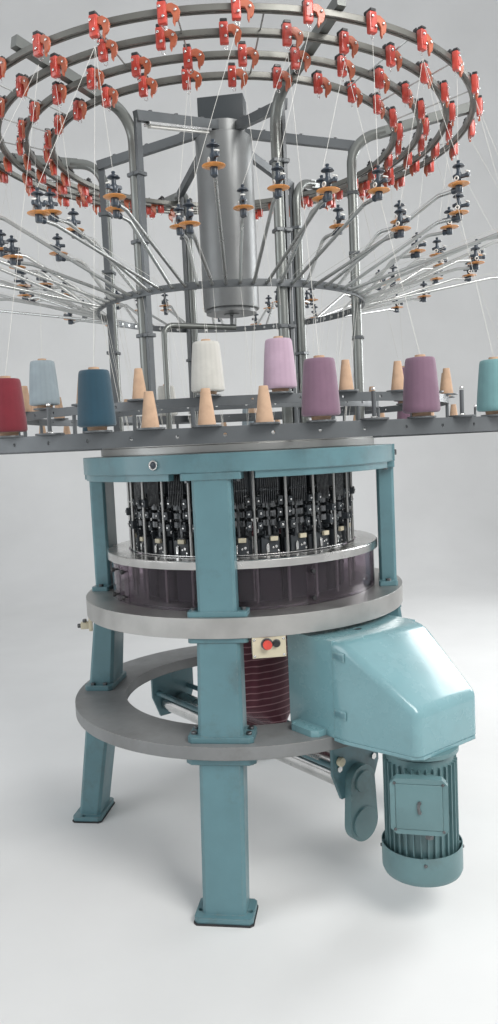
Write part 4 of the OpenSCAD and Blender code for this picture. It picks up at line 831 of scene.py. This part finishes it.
def heads():
    """Small parts of the knitting heads, one head every 15 degrees."""
    head_count, lever_step, screw_step, box_step, fin_step = 24, 0.0145, 0.04, 0.046, 0.008
    dark, bright, tabs, mag = Build(), Build(), Build(), Build()
    lever = cbox(0.03, 0.0035, 0.01, 0.0008)
    stack = cbox(0.016, 0.02, 0.176, 0.002)
    selectors = [cbox(0.04, 0.02, h, 0.002) for h in (0.036, 0.026, 0.031)]
    fin = cbox(0.02, 0.0022, 0.17, 0.0006)
    fin_bar = cbox(0.012, 0.078, 0.012, 0.002)
    cam_box = cbox(0.034, 0.07, 0.06, 0.003, 2)
    tab = cbox(0.014, 0.03, 0.017, 0.0015)
    tab_arm = cbox(0.05, 0.006, 0.014, 0.001)
    slide = cbox(0.008, 0.012, 0.03, 0.0015)
    rocker = prism([(-0.012, -0.004), (0.01, -0.006), (0.016, 0.0), (0.01, 0.007), (-0.012, 0.004)],
                   0.004, 0.0006)
    screw = head(0.0045, 0.0035, 0.0035, 0.0045, 10)
    bolt = stub(0.006, 0.004)
    post = stub(0.004, 0.09, 10)
    spring = coil(0.0035, 0.04, 7, 100, 0.0007, 5)
    stack_z, box_z, spring_z, tab_z = 1.318, 1.345, 1.436, 1.292
    lever_r, box_r, stack_y, box_y, spring_r = 0.438, 0.44, 0.031, 0.0415, 0.447
    for i in range(head_count):
        deg = 360 / head_count * (i + 0.5)
        lift = rnd.uniform(-0.004, 0.004)
        # Selector stack beside the drum: many thin levers that stick out
        for side in SIDES:
            for s in range(11):
                out = 0.012 if (s * 7 + i * 3 + side) % 3 else 0.0
                lever_y = side * (0.03 + 0.004 * (s % 2))
                dark.add(lever, at(deg, lever_r + out, stack_z + lever_step * s, lever_y))
            dark.add(stack, at(deg, 0.416, 1.392, side * stack_y))
            for s in range(4):
                bright.add(screw, facing(deg, 0.4245, 1.335 + screw_step * s, side * stack_y))
        # Selector boxes outside the stack
        for side in SIDES:
            for s in range(3):
                out, z = 0.013 * ((i + s + (side > 0)) % 3), box_z + box_step * s
                dark.add(selectors[(i + s) % 3], at(deg, box_r + out, z, side * box_y))
                bright.add(screw, facing(deg, box_r + 0.02 + out, z, side * box_y))
        # Magazine fins under the band
        for s in range(9):
            mag.add(fin, at(deg, 0.4585, 1.5115, fin_step * (s - 4)))
        dark.add(fin_bar, at(deg, 0.457, 1.4795))
        # Cam box below, with its cream tab and bright slide
        dark.add(cam_box, at(deg, 0.436, 1.268))
        tabs.add(tab, at(deg, 0.462, tab_z + lift, 0.012))
        dark.add(tab_arm, at(deg, 0.44, tab_z + lift, 0.012))
        bright.add(slide, at(deg, 0.458, 1.256, -0.012))
        bright.add(bolt, facing(deg, 0.4535, 1.262, 0.022))
        for s in range(3):
            dark.add(rocker, at(deg, 0.452, 1.3 + 0.01 * s, -0.02) @ xf(rx=pi / 2))
            bright.add(screw, facing(deg, 0.453, 1.246 + 0.012 * s, 0.03 - 0.02 * s))
        bright.add(spring, at(deg, spring_r, spring_z, 0.04))
        bright.add(post, at(deg, spring_r, stack_z, -0.045))
        bright.add(spring, at(deg, spring_r, spring_z, -0.04))
    dark.make("head_blocks", "dark", "rotor", "head_dark")
    bright.make("head_small_parts", "bright", "rotor", "bright_steel")
    tabs.make("head_tabs", "cream", "rotor", "plate_cream")
    mag.make("head_magazines", "oiled", "rotor", "head_dark")
    plate = [(0.444, 1.2365), (0.4805, 1.2365), (0.4805, 1.2395), (0.444, 1.2395), (0.444, 1.2365)]
    Build().add(lathe(plate, 180)).make("head_base_plate", "bright", "rotor", "bright_steel")


heads()


def frame_screws():
    """Screws in the corner blocks of the beam."""
    screws = Build()
    screw = head(0.011, 0.007, 0.01, 0.0085)
    for i in range(3):
        for aside in (-0.04, 0.04):
            screws.add(screw, facing(90 * i, 0.6565, BEAM_Z, aside))
    screws.make("frame_screws", "oiled", "base", "screw_dark")


def guard_joints():
    """Strips over the joints of the guard, with two knobs on each."""
    joints = Build()
    knob = lathe([(0, 0), (0.004, 0), (0.004, 0.01), (0.009, 0.012), (0.01, 0.018), (0.008, 0.024),
                  (0, 0.026)], 18)
    strip = cbox(0.003, 0.034, 0.154, 0.0008)
    strip_r, knob_r, strip_z = 0.5627, 0.564, 1.124
    for deg in (35.2, 215.2, 224.2, 44.2, 125, 305):
        joints.add(strip, at(deg, strip_r, strip_z))
        for z in (1.075, 1.175):
            joints.add(knob, facing(deg, knob_r, z), 1)
    joints.make("guard_joints", ["guard", "blackp"], "base", "smoke_clear")


def sight_glass():
    m = facing(SIGHT_AZ, 0.655, BEAM_Z)
    bezel = lathe([(0, 0), (0.0175, 0), (0.0182, 0.002), (0.0182, 0.0055), (0.015, 0.007),
                   (0.0125, 0.0045), (0.0125, 0.002), (0, 0.002)], 28)
    glass = lathe([(0, 0.002), (0.012, 0.002), (0.009, 0.0044), (0, 0.0052)], 24)
    Build().add(bezel, m).add(glass, m, 1).make("sight_glass", ["bright", "capblue"], "base", "frame_paint")


frame_screws()
guard_joints()
sight_glass()


def drum():
    """Core drum with its neck, two faint seams and the box on top."""
    shell_r, seam_h = 0.118, 0.002
    body = Build()
    body.add(lathe([(0, 2.1574), (0.008, 2.1574), (0.008, 2.195), (0.03, 2.1952), (0.034, 2.1995),
                    (0.106, 2.1996), (0.106, 2.2154), (0.1155, 2.2156), (shell_r, 2.218), (shell_r, 2.908),
                    (0.1155, 2.9104), (0.092, 2.9105), (0.092, 2.9624), (0, 2.9624)], 96))
    for z in (2.45, 2.68):
        inner, outer = shell_r - 0.0004, shell_r + 0.0002
        body.add(lathe([(inner, z), (outer, z), (outer, z + seam_h), (inner, z + seam_h), (inner, z)], 96))
    body.add(cbox(0.19, 0.095, 0.108, 0.003, 2), xf((0, 0, 3.0164)), 1)
    body.make("drum", ["drum", "box"], "rotor", "drum_grey", 38, ["core_drum"])


drum()


def post_clips():
    clips = Build()
    clip = cbox(0.046, 0.062, 0.014, 0.002)
    nut = head(0.0055, 0.004, 0.004, 0.005)
    for deg in POST_AZ:
        for up in (0.13, 0.38, 0.72, 0.96):
            clips.add(clip, at(deg, POST_R, BAND_TOP + up, 0.009))
            clips.add(nut, facing(deg, 0.5445, BAND_TOP + up, 0.012))
    clips.make("post_clips", "bar", "rotor", "crown_dark")


def core_arm_trim():
    """Nuts on the sloping arms, and a bright channel with a pale strip under one of them."""
    slope = math.radians(11.6)
    low_r, low_z, half_t = 0.535, 2.8454, 0.018
    nuts, channel = Build(), Build()
    nut = stub(0.009, 0.006)
    for deg in POST_AZ:
        for r in (0.17, 0.32, 0.46):
            z = low_z + (low_r - r) * math.tan(slope) + half_t / math.cos(slope)
            nuts.add(nut, at(deg, r, z, POST_ASIDE) @ xf(ry=slope))
    nuts.make("arm_nuts", "oiled", "rotor", "screw_dark")
    mid_r = 0.31
    m = at(-120, mid_r, low_z + (low_r - mid_r) * math.tan(slope), POST_ASIDE) @ xf(ry=slope)
    channel.add(cbox(0.36, 0.034, 0.012, 0.002), m @ xf((0, 0, -0.0242)))
    channel.add(cbox(0.34, 0.02, 0.008, 0.003, 2), m @ xf((0, 0, -0.033)), 1)
    channel.make("arm_channel", ["bright", "ceramic"], "rotor", "rod_steel")


def crown_wires():
    """Wires along the inner and outer ring, and short rods that tie each ring to the next."""
    wires = Build()
    bar, up = 0.01, 0.012
    for deg in POST_AZ:
        for k in (0, CROWN_N - 1):
            arc = [polar(crown_r(k), deg + t, crown_z(k) + 0.02) for t in np.linspace(3, 57, 19)]
            wires.add(sweep(arc, 0.0022, 6))
        for k in range(CROWN_N - 1):
            for t in (17, 32, 47):
                wires.add(sweep([polar(crown_r(k) + bar, deg + t, crown_z(k) + up),
                                 polar(crown_r(k + 1) - bar, deg + t, crown_z(k + 1) + up)], 0.0028, 6))
    wires.make("crown_wires", "rod", "rotor", "rod_steel")


def tray_trim():
    """A wire rim on each plate, and a nut and a rounded tip on each empty peg."""
    nut = head(0.0095, 0.005, 0.0075, 0.0065)
    tip = lathe([(0, 0), (0.0061, 0), (0.0061, 0.004), (0.004, 0.007), (0, 0.008)], 16)
    rim = wire_ring(0.04, 0.0014, 40, 6)
    pegs, rims = Build(), Build()
    for row, i, deg, r, z in cone_places():
        if i in EMPTY[row]:
            pegs.add(tip, at(deg, r, z + 0.079))
            pegs.add(nut, at(deg, r, z))
        rims.add(rim, at(deg, r, z))
    pegs.make("peg_tips", "bright", "rotor", "creel_grey")
    rims.make("tray_rims", "bar", "rotor", "creel_grey")


post_clips()
core_arm_trim()
crown_wires()
tray_trim()


def motor():
    """Lid of the terminal box with wing nut and screws, gland in its inlet, and the cowl's screws."""
    lids, metal = Build(), Build()
    axis = at(GEAR_AZ, MOTOR_R)
    box = axis @ xf(rz=math.radians(INLET_AZ - GEAR_AZ))
    lid_z, screw_y, screw_z = 0.46, 0.07656, 0.07772
    lids.add(cbox(0.006, 0.15, 0.152, 0.004, 2), box @ xf((0.192, 0, lid_z)))
    screw = head(0.005, 0.003, 0.004, 0.004, 14)
    for y in (-screw_y, screw_y):
        for z in (-screw_z, screw_z):
            metal.add(screw, box @ xf((0.1915, y, lid_z + z), ry=pi / 2))
    wing = prism([(-0.02, -0.004), (-0.006, -0.006), (0.006, -0.006), (0.02, -0.004), (0.022, 0.006),
                  (0.014, 0.008), (0.006, 0.003), (-0.006, 0.003), (-0.014, 0.008), (-0.022, 0.006)],
                 0.006, 0.001)
    metal.add(wing, box @ xf((0.195, 0.0, lid_z), ry=pi / 2))
    gland = lathe([(0, -0.03), (0.0135, -0.03), (0.015, -0.027), (0.015, -0.013), (0.0125, -0.011),
                   (0.0125, -0.008), (0.016, -0.007), (0.016, 0.0), (0, 0.0)], 6)
    metal.add(gland, box @ xf((0.16, 0.03, 0.3718)))
    cowl_screw = head(0.006, 0.003, 0.0045, 0.005, 16)
    for k in range(4):
        metal.add(cowl_screw, axis @ facing(90 * k + 45, 0.1379, 0.233))
    # The lid takes the motor's darker paint, which is painted shade.
    lids.make("motor_lid", "motor", "base", "hood_paint")
    metal.make("motor_screws", "oiled", "base", "screw_dark")


motor()


def ring_clamp():
    """Small cream clamp with two knobs, under the edge of the middle ring."""
    ring_edge = at(-160.5, 0.675)
    block_z = 0.926
    clamp = Build()
    clamp.add(cbox(0.016, 0.046, 0.0698, 0.003, 2), ring_edge @ xf((-0.012, 0, 0.938)))
    clamp.add(cbox(0.034, 0.04, 0.026, 0.003, 2), ring_edge @ xf((0.012, 0, block_z)))
    knob = lathe([(0, 0), (0.008, 0), (0.009, 0.002), (0.009, 0.012), (0.007, 0.014), (0, 0.0145)], 20)
    clamp.add(knob, ring_edge @ xf((0.0285, 0, block_z), ry=pi / 2), 1)
    clamp.add(knob, ring_edge @ xf((0.012, 0, block_z + 0.0125)), 1)
    clamp.make("ring_clamp", ["cream", "oiled"], "base", "plate_cream")


ring_clamp()


def controls():
    """Corner screws of the control box and a collar round each button."""
    face_r, button_z, bore_r = 0.6719, 0.9475, 0.0085
    metal = Build()
    screw = head(0.0048, 0.0018, 0.0036, 0.003, 16)
    for y in (-0.052, 0.052):
        for z in (0.906, 0.964):
            metal.add(screw, facing(CONTROL_AZ, face_r, z, y))
    for y, r, h in ((-0.008, 0.0215, 0.004), (0.026, 0.015, 0.0014)):
        collar = lathe([(bore_r, 0), (r, 0), (r, h * 0.6), (r - 0.002, h), (bore_r, h), (bore_r, 0)], 32)
        metal.add(collar, facing(CONTROL_AZ, face_r, button_z, y), 1)
    metal.make("control_screws", ["bright", "oiled"], "base", "screw_dark")


controls()


def takedown():
    """Cream knob, spring and end nuts of the take-down."""
    knobs, metal = Build(), Build()
    knob = lathe([(0, 0), (0.01, 0), (0.016, 0.004), (0.018, 0.012), (0.016, 0.02), (0.008, 0.024),
                  (0, 0.024)], 24)
    knobs.add(knob, facing(GEAR_AZ, 0.6468, 0.47, -0.09))
    metal.add(coil(0.009, 0.12, 12, 220, 0.0014, 6), facing(GEAR_AZ, 0.44, 0.46, -0.104))
    nut = stub(0.013, 0.008)
    for aside in (-0.09, 0.09):
        for along in (-0.654, 0.646):
            metal.add(nut, facing(GEAR_AZ, along, 0.44, aside))
    knobs.make("takedown_knob", "cream", "base", "plate_cream")
    metal.make("takedown_spring", "bright", "base", "bright_steel")


takedown()


# Stage and light
def floor():
    """Pale floor that curves up into a backdrop."""
    N = Nodes("floor_pale")
    N.finish(N.patches(N.noise(1.2, 5.0), (0.7, 0.7, 0.69), (0.76, 0.76, 0.75)), 0.75)
    front, back, half_w, curve_r, height = -9.0, 5.0, 14.0, 2.0, 14.0
    side = [(front, 0.0), (back, 0.0)]
    for t in np.linspace(0.1, pi / 2, 12):
        side.append((back + curve_r * math.sin(t), curve_r * (1 - math.cos(t))))
    side += [(back + curve_r, height)]
    bm = bmesh.new()
    left, right = [[bm.verts.new((x, y, z)) for y, z in side] for x in (-half_w, half_w)]
    for i in range(len(side) - 1):
        bm.faces.new((left[i], right[i], right[i + 1], left[i + 1]))
    me = bpy.data.meshes.new("floor")
    bm.to_mesh(me)
    bm.free()
    me.polygons.foreach_set("use_smooth", [True] * len(me.polygons))
    me.materials.append(N.material)
    ob = bpy.data.objects.new("floor", me)
    ob.rotation_euler = (0, 0, CAM_TURN)
    bpy.context.scene.collection.objects.link(ob)


def world():
    """Soft sky light, and a paler sky where it is seen, mirrored or looked at through the guard."""
    sky = bpy.data.worlds.new("studio")
    bpy.context.scene.world = sky
    sky.use_nodes = True
    tree = sky.node_tree
    tree.nodes.clear()
    out, seen, lit, path, either, any_of, mix = [tree.nodes.new("ShaderNode" + kind) for kind in (
        "OutputWorld", "Background", "Background", "LightPath", "Math", "Math", "MixShader")]
    seen.inputs[0].default_value = (0.8, 0.81, 0.82, 1)
    seen.inputs[1].default_value = 1.0
    lit.inputs[0].default_value = (0.93, 0.96, 1.0, 1)
    lit.inputs[1].default_value = 0.55
    either.operation = any_of.operation = "MAXIMUM"
    links = ((path, "Is Camera Ray", either, 0), (path, "Is Glossy Ray", either, 1), (either, 0, any_of, 0),
             (path, "Is Transmission Ray", any_of, 1), (any_of, 0, mix, 0), (lit, 0, mix, 1),
             (seen, 0, mix, 2), (mix, 0, out, 0))
    for source, output, target, socket in links:
        tree.links.new(source.outputs[output], target.inputs[socket])


def lamp(name, place, target_z, side, power, colour):
    """Square soft lamp that points at the machine's axis."""
    light = bpy.data.lights.new(name, "AREA")
    light.shape = "RECTANGLE"
    light.size = light.size_y = side
    light.energy = power
    light.color = colour
    ob = bpy.data.objects.new(name, light)
    ob.location = place
    ob.rotation_mode = "QUATERNION"
    ob.rotation_quaternion = (Vector((0, 0, target_z)) - Vector(place)).to_track_quat("-Z", "Y")
    bpy.context.scene.collection.objects.link(ob)


floor()
world()
lamp("key", (3.2, -3.4, 4.6), 1.3, 2.6, 240, (1.0, 0.985, 0.96))
lamp("fill", (-4.0, -2.6, 2.6), 1.3, 3.0, 70, (0.93, 0.97, 1.0))
lamp("window", (3.8, 2.6, 3.0), 1.5, 2.6, 170, (0.97, 0.99, 1.0))

bpy.context.scene.view_settings.view_transform = "Standard"
bpy.context.view_layer.update()
